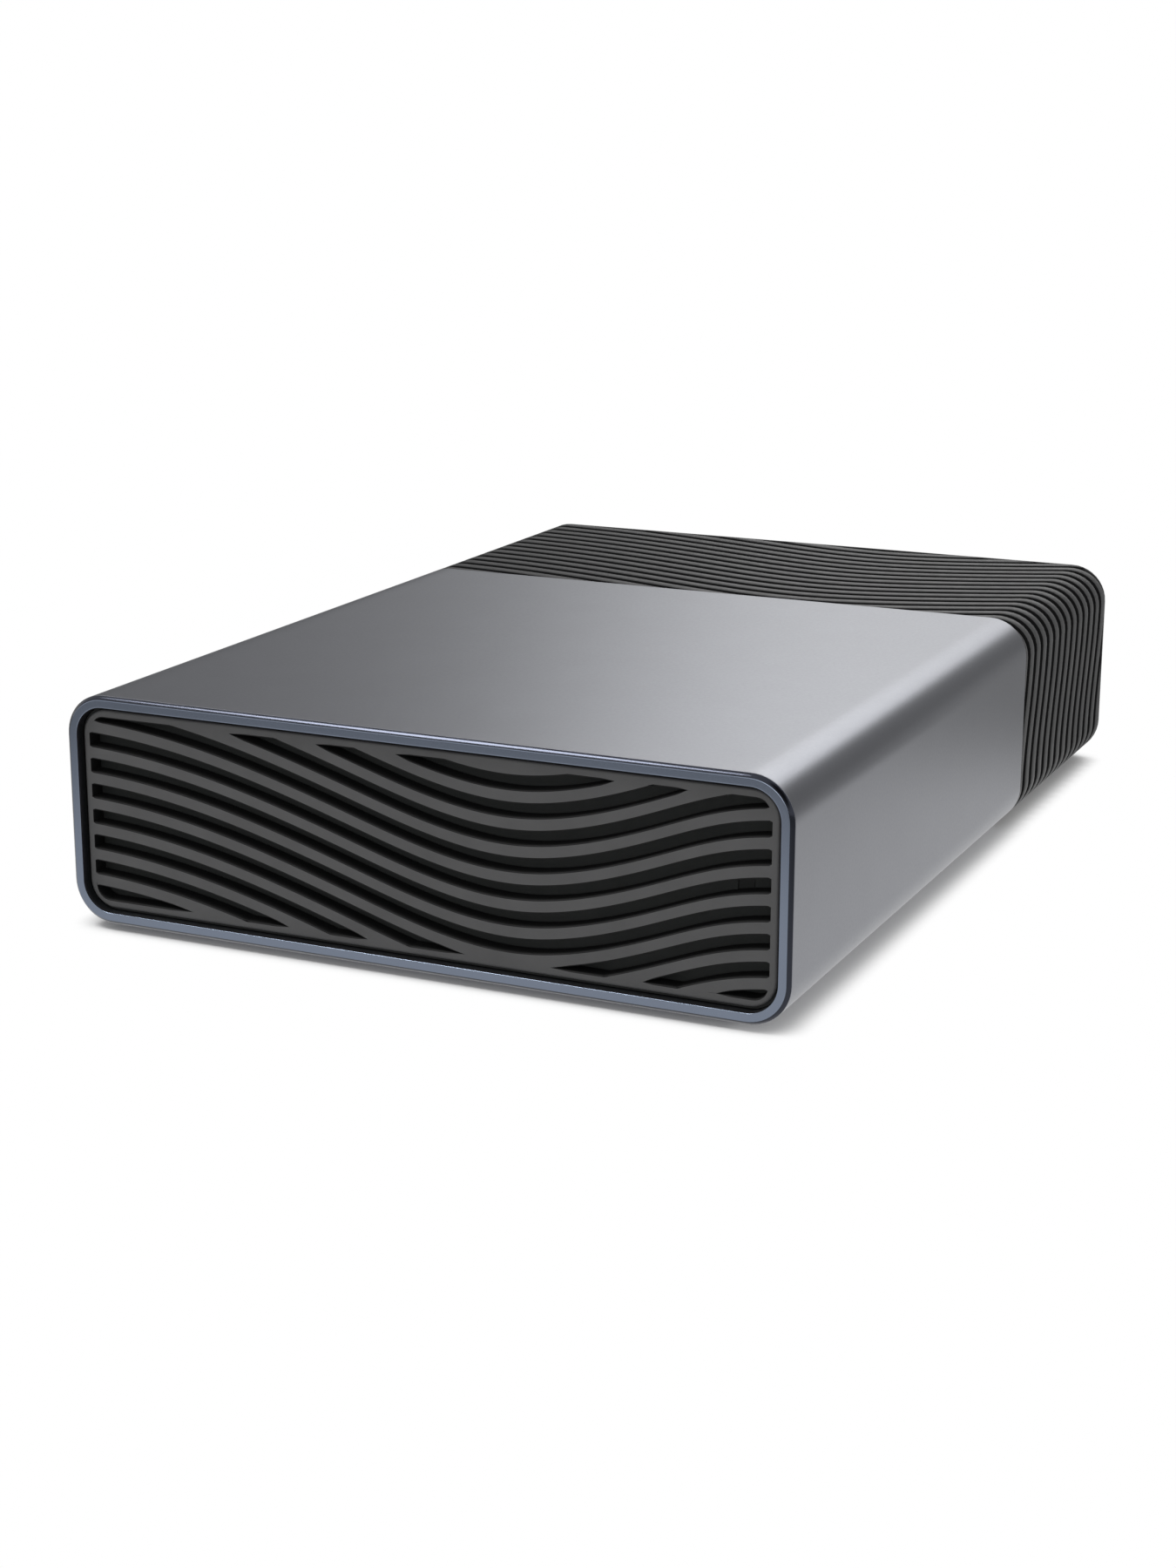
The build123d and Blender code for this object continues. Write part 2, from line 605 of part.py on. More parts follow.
# Case screws: flat heads under the rear feet, up into the chassis posts
with BuildPart() as case_screws:
    for x, y in rear_feet:
        with Locations((x, y, z_pocket + (CASE_SCREW_HEAD_R - CASE_SCREW_R) / 2)):
            Cone(CASE_SCREW_HEAD_R, CASE_SCREW_R, CASE_SCREW_HEAD_R - CASE_SCREW_R)
        disc(x, y, z_pocket, z_pocket + CASE_SCREW_L, CASE_SCREW_R)
        with BuildSketch(Plane.XY.offset(z_pocket)):
            with Locations((x, y)):
                Rectangle(RECESS_L, RECESS_W)
                Rectangle(RECESS_W, RECESS_L)
        extrude(amount=RECESS_DEPTH, mode=Mode.SUBTRACT)
save(case_screws, "case_screws")

# Grommets and shoulder screws between the chassis walls and the sides of the drive
x_side = drive_w / 2
x_wall = x_side + GROMMET_GAP
with BuildPart() as drive_grommets:
    for side in (-1, 1):
        for y in side_hole_y:
            with BuildSketch(Plane(origin=(0, y, z_screws), x_dir=(side, 0, 0), z_dir=(0, 1, 0))):
                with BuildLine():
                    Polyline((x_side + FIT, SHOULDER_R + FIT / 2), (x_side + FIT, GROMMET_R),
                             (x_wall - FIT / 2, GROMMET_R), (x_wall - FIT / 2, GROMMET_NECK_R),
                             (x_wall + CHASSIS_WALL + FIT / 2, GROMMET_NECK_R),
                             (x_wall + CHASSIS_WALL + FIT / 2, GROMMET_R),
                             (x_wall + CHASSIS_WALL + GROMMET_FLANGE, GROMMET_R),
                             (x_wall + CHASSIS_WALL + GROMMET_FLANGE, SHOULDER_R + FIT / 2), close=True)
                make_face()
            revolve(axis=Axis((0, y, z_screws), (1, 0, 0)))
save(drive_grommets, "drive_grommets")

x_head = x_wall + CHASSIS_WALL + GROMMET_FLANGE
x_tip = x_side - DRIVE_HOLE_DEPTH + FIT
with BuildPart() as shoulder_screws:
    for side in (-1, 1):
        for y in side_hole_y:
            with BuildSketch(Plane(origin=(0, y, z_screws), x_dir=(side, 0, 0), z_dir=(0, 1, 0))):
                with BuildLine():
                    Polyline((x_tip, 0), (x_tip, SHOULDER_SCREW_R), (x_side, SHOULDER_SCREW_R),
                             (x_side, SHOULDER_R), (x_head, SHOULDER_R), (x_head, SHOULDER_HEAD_R),
                             (x_head + SHOULDER_HEAD_T, SHOULDER_HEAD_R - SHOULDER_BEVEL),
                             (x_head + SHOULDER_HEAD_T, 0), close=True)
                make_face()
            revolve(axis=Axis((0, y, z_screws), (1, 0, 0)))
        with BuildSketch(Plane.YZ.offset(side * half_w)):
            with Locations(*[(y, z_screws) for y in side_hole_y]):
                Rectangle(SHOULDER_R * 2, SHOULDER_CROSS)
                Rectangle(SHOULDER_CROSS, SHOULDER_R * 2)
        extrude(amount=-side * (half_w - x_head - SHOULDER_HEAD_T / 2), mode=Mode.SUBTRACT)
save(shoulder_screws, "shoulder_screws")

# Bridge board behind the drive, standing on the chassis posts
y_board = y_drive_end + BOARD_FRONT_ROOM
y_board_end = y_rear_wall - BOARD_REAR_ROOM
z_parts = z_board + BOARD_T
with BuildPart() as bridge_board:
    slab(-BOARD_LEFT, BOARD_RIGHT, y_board, y_board_end, z_board, z_parts)
    fillet(bridge_board.edges().filter_by(Axis.Z), BOARD_CORNER_R)
    with Locations(*[(x, y, z_parts) for x, y in rear_feet]):
        Hole(BOARD_SCREW_R + FIT)
save(bridge_board, "bridge_board")


def pan_screw(x, y, z_seat, radius, length, head_r, head_t, down):
    """Pan-head screw with a cross recess; down is 1 when its shank points down, else -1."""
    disc(x, y, min(z_seat, z_seat - down * length), max(z_seat, z_seat - down * length), radius)
    disc(x, y, min(z_seat, z_seat + down * head_t), max(z_seat, z_seat + down * head_t), head_r)
    with BuildSketch(Plane.XY.offset(z_seat + down * head_t)) as cross:
        with Locations((x, y)):
            Rectangle(head_r * PAN_RECESS_L, head_r * PAN_RECESS_W)
            Rectangle(head_r * PAN_RECESS_W, head_r * PAN_RECESS_L)
    extrude(cross.sketch, amount=-down * head_t / 2, mode=Mode.SUBTRACT)


with BuildPart() as board_screws:
    for x, y in rear_feet:
        pan_screw(x, y, z_parts, BOARD_SCREW_R, BOARD_SCREW_L + BOARD_T, BOARD_SCREW_HEAD_R,
                  BOARD_SCREW_HEAD_T, 1)
save(board_screws, "board_screws")

# USB-C socket: pressed shell round a moulded tongue
y_port = y_rear - PORT_RECESS
with BuildPart() as usb_shell:
    with BuildSketch(across(y_port - USB_L)):
        with Locations((USB_X, usb_z)):
            SlotOverall(USB_W, USB_H)
            SlotOverall(USB_W - 2 * USB_SHELL, USB_H - 2 * USB_SHELL, mode=Mode.SUBTRACT)
    extrude(amount=-USB_L)
save(usb_shell, "usb_shell")

with BuildPart() as usb_tongue:
    with BuildSketch(across(y_port - USB_L)):
        with Locations((USB_X, usb_z)):
            SlotOverall(USB_W - 2 * USB_SHELL - 2 * THREAD_FIT, USB_H - 2 * USB_SHELL - 2 * THREAD_FIT)
    extrude(amount=-USB_BACK_T)
    with BuildSketch(across(y_port - USB_L)):
        with Locations((USB_X, usb_z)):
            RectangleRounded(USB_TONGUE_W, USB_TONGUE_T, USB_TONGUE_T / 4)
    extrude(amount=-USB_BACK_T - USB_TONGUE_L)
save(usb_tongue, "usb_tongue")

# Power jack: moulded body with a round nose in the rear wall, and its centre pin
y_jack = y_rear_wall - PORT_FIT
with BuildPart() as dc_jack:
    slab(JACK_X - JACK_W / 2, JACK_X + JACK_W / 2, y_jack - JACK_L, y_jack, z_parts, z_parts + JACK_H)
    chamfer(dc_jack.edges().filter_by(Axis.Y).group_by(Axis.Z)[-1], JACK_CHAMFER)
    with BuildSketch(across(y_jack)):
        with Locations((JACK_X, jack_z)):
            Circle(JACK_NOSE_R)
    extrude(amount=y_jack - y_port)
    with BuildSketch(across(y_port)):
        with Locations((JACK_X, jack_z)):
            Circle(JACK_BORE_R)
    extrude(amount=JACK_BORE_L, mode=Mode.SUBTRACT)
save(dc_jack, "dc_jack")

with BuildPart() as dc_jack_pin:
    with BuildSketch(across(y_port - JACK_BORE_L)):
        with Locations((JACK_X, jack_z)):
            Circle(JACK_PIN_R)
    extrude(amount=JACK_PIN_RECESS - JACK_BORE_L)
    fillet(dc_jack_pin.faces().sort_by(Axis.Y)[-1].edges(), JACK_PIN_R / 2)
save(dc_jack_pin, "dc_jack_pin")

# Drive connector and the socket that plugs into it
z_sata = z_drive + SATA_Z
plug_half = SATA_W / 2 + FIT * 2
cavity_half = plug_half - SATA_SHELL
y_plug = y_drive_end - SATA_PLUG_L


def sata_tongues(plane, grow):
    """The power and data tongues with their keys, as one sketch."""
    with BuildSketch(plane) as tongues:
        for x, width in ((SATA_X - SATA_W / 4, SATA_POWER_W), (SATA_X + SATA_W / 4, SATA_DATA_W)):
            with Locations((x, z_sata)):
                Rectangle(width + 2 * grow, SATA_TONGUE_T + 2 * grow)
            with Locations((x + width / 2 - SATA_TONGUE_T / 2, z_sata + SATA_KEY_H / 2)):
                Rectangle(SATA_TONGUE_T + 2 * grow, SATA_KEY_H + SATA_TONGUE_T + 2 * grow)
    return tongues.sketch


with BuildPart() as sata_plug:
    slab(SATA_X - plug_half, SATA_X + plug_half, y_plug, y_drive_end, z_sata - SATA_PLUG_H / 2,
         z_sata + SATA_PLUG_H / 2)
    slab(SATA_X - cavity_half, SATA_X + cavity_half, y_drive_end - SATA_CAVITY, y_drive_end,
         z_sata - SATA_PLUG_H / 2 + SATA_SHELL, z_sata + SATA_PLUG_H / 2 - SATA_SHELL, Mode.SUBTRACT)
    extrude(sata_tongues(across(y_drive_end - SATA_CAVITY), 0), amount=-SATA_TONGUE_L)
save(sata_plug, "sata_plug")

with BuildPart() as sata_socket:
    slab(SATA_X - SATA_W / 2, SATA_X + SATA_W / 2, y_drive_end + FIT, y_drive_end + SATA_L, z_board - SATA_H,
         z_board)
    slab(SATA_X - cavity_half + FIT, SATA_X + cavity_half - FIT, y_drive_end - SATA_CAVITY + 2 * FIT,
         y_drive_end + FIT, z_sata - SATA_PLUG_H / 2 + SATA_SHELL + FIT,
         z_sata + SATA_PLUG_H / 2 - SATA_SHELL - FIT)
    extrude(sata_tongues(across(y_drive_end - SATA_CAVITY), FIT), amount=-SATA_TONGUE_L - FIT,
            mode=Mode.SUBTRACT)
save(sata_socket, "sata_socket")

# Parts on the bridge board
with BuildPart() as bridge_chips:
    for x, width, length, height in BRIDGE_CHIPS:
        slab(x - width / 2, x + width / 2, y_board + CHIP_ROOM, y_board + CHIP_ROOM + length, z_parts,
             z_parts + height)
save(bridge_chips, "bridge_chips")

with BuildPart() as power_inductors:
    for x in INDUCTOR_X:
        slab(x - INDUCTOR_W / 2, x + INDUCTOR_W / 2, y_board + CHIP_ROOM, y_board + CHIP_ROOM + INDUCTOR_W,
             z_parts, z_parts + INDUCTOR_H)
    chamfer(power_inductors.edges().filter_by(Axis.Z), INDUCTOR_CHAMFER)
save(power_inductors, "power_inductors")

with BuildPart() as capacitors:
    for x in CAPACITOR_X:
        disc(x, y_board + CAPACITOR_IN, z_parts, z_parts + CAPACITOR_H, CAPACITOR_R)
    fillet(capacitors.faces().group_by(Axis.Z)[-1].edges(), CAPACITOR_EDGE_R)
save(capacitors, "capacitors")

y_led = y_board + PIPE_W / 2 + FIT
with BuildPart() as activity_led:
    slab(pipe_x - LED_W / 2, pipe_x + LED_W / 2, y_led - LED_W / 2, y_led + LED_W / 2, z_parts,
         z_parts + LED_H)
save(activity_led, "activity_led")

# Light pipe from the lamp on the board to the back of the grille
with BuildPart() as light_pipe:
    with BuildSketch(Plane.YZ.offset(pipe_x - PIPE_W / 2)):
        with BuildLine():
            Polyline((y_frame + FIT, pipe_z - PIPE_W / 2), (y_led - PIPE_W / 2, pipe_z - PIPE_W / 2),
                     (y_led - PIPE_W / 2, z_parts + LED_H + FIT), (y_led + PIPE_W / 2, z_parts + LED_H + FIT),
                     (y_led + PIPE_W / 2, pipe_z - PIPE_W / 2), (y_led - PIPE_W / 2, pipe_z + PIPE_W / 2),
                     (y_frame + FIT, pipe_z + PIPE_W / 2), close=True)
        make_face()
    extrude(amount=PIPE_W)
save(light_pipe, "light_pipe")

# Drive: cast base with the disk bowl and the actuator bay
y_spindle = y_drive + drive_w / 2
z_deck = z_drive + PCB_ROOM + BASE_FLOOR
z_rim = z_deck + bowl_depth
y_bay_end = y_drive_end - BASE_END
pivot_x = PIVOT_X
pivot_y = y_spindle + PIVOT_Y
z_coil = z_deck + VCM_PLATE_T + VCM_MAGNET_T + MAGNET_GAP
latch_x = pivot_x + LATCH_REACH * cos(radians(LATCH_ANGLE))
latch_y = pivot_y + LATCH_REACH * sin(radians(LATCH_ANGLE))
recess_half = drive_w / 2 - RAIL_W
pcb_half = recess_half - FIT * 3
y_pcb = y_spindle + PCB_START
y_pcb_end = y_plug - FIT
z_pcb = z_drive + PCB_LIFT
pcb_screw_places = [(side * (pcb_half - PCB_SCREW_IN), y)
                    for side in (-1, 1) for y in (y_pcb + PCB_SCREW_IN, y_pcb_end - PCB_SCREW_IN)]
cover_screw_places = [(side * (drive_w / 2 - inset), y) for side in (-1, 1)
                      for inset, y in ((COVER_CORNER_IN, y_drive + COVER_CORNER_IN),
                                       (COVER_SIDE_IN, y_spindle + COVER_MID_Y),
                                       (COVER_CORNER_IN, y_drive_end - BASE_END / 2))]


def opening(plane, grow):
    """Outline of the bowl and the bay together, grown all round."""
    with BuildSketch(plane) as outline:
        with Locations((0, y_spindle)):
            Circle(DISK_R + DISK_ROOM + grow)
        with Locations((0, (y_spindle + BAY_START + y_bay_end) / 2)):
            RectangleRounded(BAY_W + 2 * grow, y_bay_end - y_spindle - BAY_START + 2 * grow, BAY_CORNER_R)
    return outline.sketch


with BuildPart() as drive_base:
    slab(-drive_w / 2, drive_w / 2, y_drive, y_drive_end, z_drive, z_rim)
    fillet(drive_base.edges().filter_by(Axis.Z), BASE_CORNER_R)
    extrude(opening(Plane.XY.offset(z_deck), 0), amount=bowl_depth, mode=Mode.SUBTRACT)
    slab(-recess_half, recess_half, y_pcb - FIT, y_plug, z_drive, z_drive + PCB_ROOM, Mode.SUBTRACT)
    slab(-recess_half, recess_half, y_drive + UNDER_FRONT, y_pcb - FIT, z_drive, z_drive + UNDER_RECESS,
         Mode.SUBTRACT)
    slab(SATA_X - plug_half - FIT, SATA_X + plug_half + FIT, y_plug, y_drive_end, z_drive,
         z_sata + SATA_PLUG_H / 2 + FIT, Mode.SUBTRACT)
    disc(0, y_spindle, z_deck, z_deck + STATOR_RISE - WINDING_T, BEARING_R + 2 * BEARING_BOSS_T)
    disc(0, y_spindle, z_deck, z_deck + STATOR_RISE + STATOR_T, BEARING_R + BEARING_BOSS_T)
    disc(0, y_spindle, z_deck - BASE_FLOOR, z_deck + STATOR_RISE + STATOR_T, BEARING_R + THREAD_FIT,
         Mode.SUBTRACT)
    disc(latch_x, latch_y, z_deck, z_coil - FIT, LATCH_PIN_R * 2)
    disc(latch_x, latch_y, z_deck, z_coil + COIL_T + 4 * FIT, LATCH_PIN_R)
    for x, y in pcb_screw_places:
        disc(x, y, z_pcb + PCB_T, z_drive + PCB_ROOM, PCB_BOSS_R)
        disc(x, y, z_pcb + PCB_T, z_drive + PCB_ROOM + BASE_FLOOR / 2, PCB_SCREW_R + THREAD_FIT,
             Mode.SUBTRACT)
    for x, y in cover_screw_places:
        disc(x, y, z_rim - COVER_SCREW_L, z_rim, COVER_SCREW_R + THREAD_FIT, Mode.SUBTRACT)
    for side in (-1, 1):
        for y in BOTTOM_HOLES:
            disc(side * (drive_w / 2 - BOTTOM_HOLE_IN), y_drive_end - y, z_drive, z_drive + DRIVE_HOLE_DEPTH,
                 DRIVE_HOLE_R, Mode.SUBTRACT)
        with BuildSketch(Plane.YZ.offset(side * drive_w / 2)):
            with Locations(*[(y, z_screws) for y in side_hole_y]):
                Circle(DRIVE_HOLE_R)
        extrude(amount=-side * DRIVE_HOLE_DEPTH, mode=Mode.SUBTRACT)
save(drive_base, "drive_base")

with BuildPart() as cover_gasket:
    slab(-drive_w / 2 + 2 * COVER_MARGIN, drive_w / 2 - 2 * COVER_MARGIN, y_drive + 2 * COVER_MARGIN,
         y_drive_end - 2 * COVER_MARGIN, z_rim, z_rim + GASKET_T)
    fillet(cover_gasket.edges().filter_by(Axis.Z), BASE_CORNER_R)
    extrude(opening(Plane.XY.offset(z_rim), COVER_MARGIN), amount=GASKET_T, mode=Mode.SUBTRACT)
    for x, y in cover_screw_places:
        disc(x, y, z_rim, z_rim + GASKET_T, COVER_SCREW_R + 2 * FIT, Mode.SUBTRACT)
save(cover_gasket, "cover_gasket")

z_cover = z_rim + GASKET_T
with BuildPart() as drive_cover:
    slab(-drive_w / 2 + COVER_MARGIN, drive_w / 2 - COVER_MARGIN, y_drive + COVER_MARGIN,
         y_drive_end - COVER_MARGIN, z_cover, z_cover + COVER_T)
    fillet(drive_cover.edges().filter_by(Axis.Z), BASE_CORNER_R)
    extrude(opening(Plane.XY.offset(z_cover + COVER_T), -COVER_CORNER_IN), amount=COVER_RAISE)
    chamfer(drive_cover.faces().sort_by(Axis.Z)[-1].edges(), COVER_RAISE / 2)
    with Locations(*[(x, y, z_cover + COVER_T) for x, y in cover_screw_places]):
        CounterBoreHole(COVER_SCREW_R + FIT, COVER_SCREW_HEAD_R + FIT, COVER_SINK)
    with Locations((BREATHER_X, y_spindle + BREATHER_Y, z_cover + COVER_T + COVER_RAISE)):
        Hole(BREATHER_HOLE_R)
save(drive_cover, "drive_cover")

with BuildPart() as cover_screws:
    for x, y in cover_screw_places:
        pan_screw(x, y, z_cover + COVER_T - COVER_SINK, COVER_SCREW_R, COVER_SCREW_L, COVER_SCREW_HEAD_R,
                  COVER_SINK + COVER_RAISE, 1)
save(cover_screws, "cover_screws")

# Drive electronics under the base
with BuildPart() as drive_pcb:
    slab(-pcb_half, pcb_half, y_pcb, y_pcb_end, z_pcb, z_pcb + PCB_T)
    fillet(drive_pcb.edges().filter_by(Axis.Z), PCB_CORNER_R)
    for x, y in pcb_screw_places:
        disc(x, y, z_pcb, z_pcb + PCB_T, PCB_SCREW_R + FIT, Mode.SUBTRACT)
save(drive_pcb, "drive_pcb")

with BuildPart() as pcb_chips:
    for x, y, width, length in PCB_CHIPS:
        slab(x - width / 2, x + width / 2, y_pcb + y - length / 2, y_pcb + y + length / 2, z_pcb + PCB_T,
             z_pcb + PCB_T + PCB_CHIP_T)
save(pcb_chips, "pcb_chips")

with BuildPart() as pcb_screws:
    for x, y in pcb_screw_places:
        pan_screw(x, y, z_pcb, PCB_SCREW_R, PCB_ROOM - PCB_LIFT, PCB_SCREW_HEAD_R, PCB_SCREW_HEAD_T, -1)
save(pcb_screws, "pcb_screws")

# Spindle: fixed bearing and stator, turning hub with the magnet, disks and clamp
z_disk = z_deck + HUB_ROOM + HUB_FLANGE_T
z_disk_top = z_disk + (DISKS - 1) * DISK_PITCH + DISK_T
z_hub = z_disk_top + HUB_PROUD
z_bearing = z_deck - BASE_FLOOR
hub_in_r = DISK_BORE_R - HUB_WALL
hub_out_r = DISK_BORE_R - THREAD_FIT
shaft_bore_r = SHAFT_R + THREAD_FIT
core_in_r = BEARING_R + BEARING_BOSS_T
core_out_r = core_in_r + STATOR_CORE_T
shoe_r = STATOR_R - BEARING_BOSS_T
with BuildPart() as spindle_bearing:
    disc(0, y_spindle, z_bearing, z_hub - HUB_TOP_T - HUB_PROUD, BEARING_R)
    disc(0, y_spindle, z_bearing + BEARING_END_T, z_hub, SHAFT_R + SHAFT_FIT, Mode.SUBTRACT)
save(spindle_bearing, "spindle_bearing")

with BuildPart() as spindle_stator:
    with BuildSketch(Plane((0, y_spindle, z_deck + STATOR_RISE))):
        Circle(core_out_r)
        with PolarLocations((core_in_r + STATOR_R) / 2, STATOR_TEETH):
            Rectangle(STATOR_R - core_in_r, TOOTH_W)
        with PolarLocations((shoe_r + STATOR_R) / 2, STATOR_TEETH):
            Rectangle(STATOR_R - shoe_r, 2 * TOOTH_W)
        Circle(core_in_r + THREAD_FIT, mode=Mode.SUBTRACT)
    extrude(amount=STATOR_T)
save(spindle_stator, "spindle_stator")

with BuildPart() as stator_windings:
    with Locations(Plane((0, y_spindle, z_deck + STATOR_RISE + STATOR_T / 2))):
        with PolarLocations((core_out_r + shoe_r) / 2, STATOR_TEETH):
            Box(shoe_r - core_out_r - 2 * FIT, TOOTH_W + 2 * WINDING_T, STATOR_T + 2 * WINDING_T)
            Box(STATOR_R, TOOTH_W + THREAD_FIT, STATOR_T + THREAD_FIT, mode=Mode.SUBTRACT)
save(stator_windings, "stator_windings")

with BuildPart() as spindle_hub:
    with BuildSketch(Plane(origin=(0, y_spindle, 0), x_dir=(1, 0, 0), z_dir=(0, -1, 0))):
        with BuildLine():
            Polyline((shaft_bore_r, z_hub), (hub_out_r, z_hub), (hub_out_r, z_disk), (HUB_FLANGE_R, z_disk),
                     (HUB_FLANGE_R, z_disk - HUB_FLANGE_T), (hub_in_r, z_disk - HUB_FLANGE_T),
                     (hub_in_r, z_hub - HUB_TOP_T), (shaft_bore_r, z_hub - HUB_TOP_T), close=True)
        make_face()
    revolve(axis=Axis((0, y_spindle, 0), (0, 0, 1)))
    with Locations((0, y_spindle, z_hub)):
        with PolarLocations(CLAMP_CIRCLE_R, CLAMP_SCREWS):
            Hole(CLAMP_SCREW_R + THREAD_FIT, HUB_TOP_T)
save(spindle_hub, "spindle_hub")

with BuildPart() as rotor_magnet:
    with BuildSketch(Plane((0, y_spindle, z_deck + STATOR_RISE))):
        Circle(hub_in_r - THREAD_FIT)
        Circle(hub_in_r - THREAD_FIT - MAGNET_T, mode=Mode.SUBTRACT)
    extrude(amount=STATOR_T)
save(rotor_magnet, "rotor_magnet")

with BuildPart() as spindle_shaft:
    disc(0, y_spindle, z_bearing + BEARING_END_T + PIVOT_FIT, z_hub, SHAFT_R)
save(spindle_shaft, "spindle_shaft")

with BuildPart() as platters:
    for k in range(DISKS):
        with BuildSketch(Plane((0, y_spindle, z_disk + k * DISK_PITCH))):
            Circle(DISK_R)
            Circle(DISK_BORE_R, mode=Mode.SUBTRACT)
        extrude(amount=DISK_T)
save(platters, "platters")

with BuildPart() as disk_spacers:
    for k in range(DISKS - 1):
        with BuildSketch(Plane((0, y_spindle, z_disk + k * DISK_PITCH + DISK_T))):
            Circle(HUB_FLANGE_R)
            Circle(DISK_BORE_R, mode=Mode.SUBTRACT)
        extrude(amount=disk_gap)
save(disk_spacers, "disk_spacers")

clamp_step_r = DISK_BORE_R + CLAMP_LIP
with BuildPart() as disk_clamp:
    with BuildSketch(Plane(origin=(0, y_spindle, 0), x_dir=(1, 0, 0), z_dir=(0, -1, 0))):
        with BuildLine():
            Polyline((SHAFT_R, z_hub), (clamp_step_r, z_hub), (clamp_step_r, z_disk_top),
                     (HUB_FLANGE_R, z_disk_top), (HUB_FLANGE_R, z_hub + CLAMP_T / 2),
                     (HUB_FLANGE_R - CLAMP_T / 2, z_hub + CLAMP_T), (SHAFT_R, z_hub + CLAMP_T), close=True)
        make_face()
    revolve(axis=Axis((0, y_spindle, 0), (0, 0, 1)))
    with Locations((0, y_spindle, z_hub + CLAMP_T)):
        with PolarLocations(CLAMP_CIRCLE_R, CLAMP_SCREWS):
            Hole(CLAMP_SCREW_R + THREAD_FIT, CLAMP_T)
save(disk_clamp, "disk_clamp")

with BuildPart() as clamp_screws:
    with Locations((0, y_spindle, z_hub + CLAMP_T)):
        with PolarLocations(CLAMP_CIRCLE_R, CLAMP_SCREWS):
            Cylinder(CLAMP_SCREW_R, CLAMP_T + HUB_TOP_T, align=(Align.CENTER, Align.CENTER, Align.MAX))
            Cylinder(CLAMP_SCREW_HEAD_R, CLAMP_SCREW_HEAD_T, align=(Align.CENTER, Align.CENTER, Align.MIN))
save(clamp_screws, "clamp_screws")

# Actuator: every piece is set out from the pivot, with the arm parked on the ramp
reach = hypot(PIVOT_X, PIVOT_Y)
toward_spindle = degrees(atan2(-PIVOT_Y, -PIVOT_X))


def swing(track_r):
    """Angle at the pivot between the spindle and the heads at a track radius."""
    return degrees(acos((reach ** 2 + ARM_L ** 2 - track_r ** 2) / (2 * reach * ARM_L)))


park_angle = toward_spindle + swing(PARK_R)
inner_angle = toward_spindle + swing(INNER_R)
gap_levels = [z_disk + k * DISK_PITCH - disk_gap / 2 for k in range(DISKS + 1)]
z_arm_low = gap_levels[0] - ARM_PLATE_T / 2
z_arm_high = gap_levels[-1] + ARM_PLATE_T / 2


def at_pivot(z, angle=0.0):
    """Level plane at the pivot, turned so that local X points along the angle."""
    aim = (cos(radians(angle)), sin(radians(angle)), 0)
    return Plane(origin=(pivot_x, pivot_y, z), x_dir=aim, z_dir=(0, 0, 1))


def sector(plane, r_in, r_out, start, end):
    """Ring sector round the plane's origin, between two angles."""
    with BuildSketch(plane) as shape:
        with BuildLine():
            outer = CenterArc((0, 0), r_out, start, end - start)
            inner = CenterArc((0, 0), r_in, start, end - start)
            Line(outer @ 0, inner @ 0)
            Line(outer @ 1, inner @ 1)
        make_face()
    return shape.sketch


with BuildPart() as actuator_arm:
    for level in gap_levels:
        with BuildSketch(at_pivot(level - ARM_PLATE_T / 2, park_angle)):
            with BuildLine():
                Polyline((0, ARM_ROOT_W / 2), (ARM_PLATE_L, ARM_TIP_W / 2), (ARM_PLATE_L, -ARM_TIP_W / 2),
                         (0, -ARM_ROOT_W / 2), close=True)
            make_face()
            with Locations((ARM_SLOT_AT, 0)):
                SlotOverall(ARM_SLOT_L, ARM_SLOT_W, mode=Mode.SUBTRACT)
        extrude(amount=ARM_PLATE_T)
    disc(pivot_x, pivot_y, z_arm_low, z_arm_high, HUB_R)
    disc(pivot_x, pivot_y, z_arm_low, z_arm_high, PIVOT_SLEEVE_R + THREAD_FIT, Mode.SUBTRACT)
save(actuator_arm, "actuator_arm")

# Each gap beside a disk face has a spring blade with its head
blade_faces = [(level, 1) for level in gap_levels[:-1]] + [(level, -1) for level in gap_levels[1:]]
with BuildPart() as suspensions:
    for level, side in blade_faces:
        with BuildSketch(at_pivot(level + side * ARM_PLATE_T / 2, park_angle)):
            with BuildLine():
                edge = Polyline((BLADE_START, 0), (BLADE_START, ARM_TIP_W / 2), (ARM_PLATE_L, ARM_TIP_W / 2),
                                (ARM_L - BLADE_NECK[0], BLADE_NECK[1] / 2),
                                (ARM_L + BLADE_EYE[0], BLADE_EYE[1] / 2),
                                (ARM_L + BLADE_TAB, BLADE_TAB_W / 2), (ARM_L + BLADE_TAB, 0))
                mirror(edge, about=Plane.XZ)
            make_face()
        extrude(amount=side * BLADE_T)
save(suspensions, "suspensions")

with BuildPart() as heads:
    for level, side in blade_faces:
        with BuildSketch(at_pivot(level + side * (ARM_PLATE_T / 2 + BLADE_T), park_angle)):
            with Locations((ARM_L, 0)):
                Rectangle(HEAD_L, HEAD_W)
        extrude(amount=side * HEAD_T)
save(heads, "heads")

coil_angles = [park_angle + 180, inner_angle + 180]
bobbin_half = COIL_HALF_ANGLE + degrees(BOBBIN_SIDE / COIL_OUT_R)
coil_inset = degrees(COIL_WIRE / (COIL_IN_R + COIL_OUT_R) * 2)
with BuildPart() as coil_bobbin:
    extrude(sector(at_pivot(z_coil), HUB_R + THREAD_FIT, COIL_OUT_R + BOBBIN_EDGE,
                   coil_angles[0] - bobbin_half, coil_angles[0] + bobbin_half), amount=COIL_T)
    extrude(sector(at_pivot(z_coil), COIL_IN_R, COIL_OUT_R, coil_angles[0] - COIL_HALF_ANGLE,
                   coil_angles[0] + COIL_HALF_ANGLE), amount=COIL_T, mode=Mode.SUBTRACT)
save(coil_bobbin, "coil_bobbin")

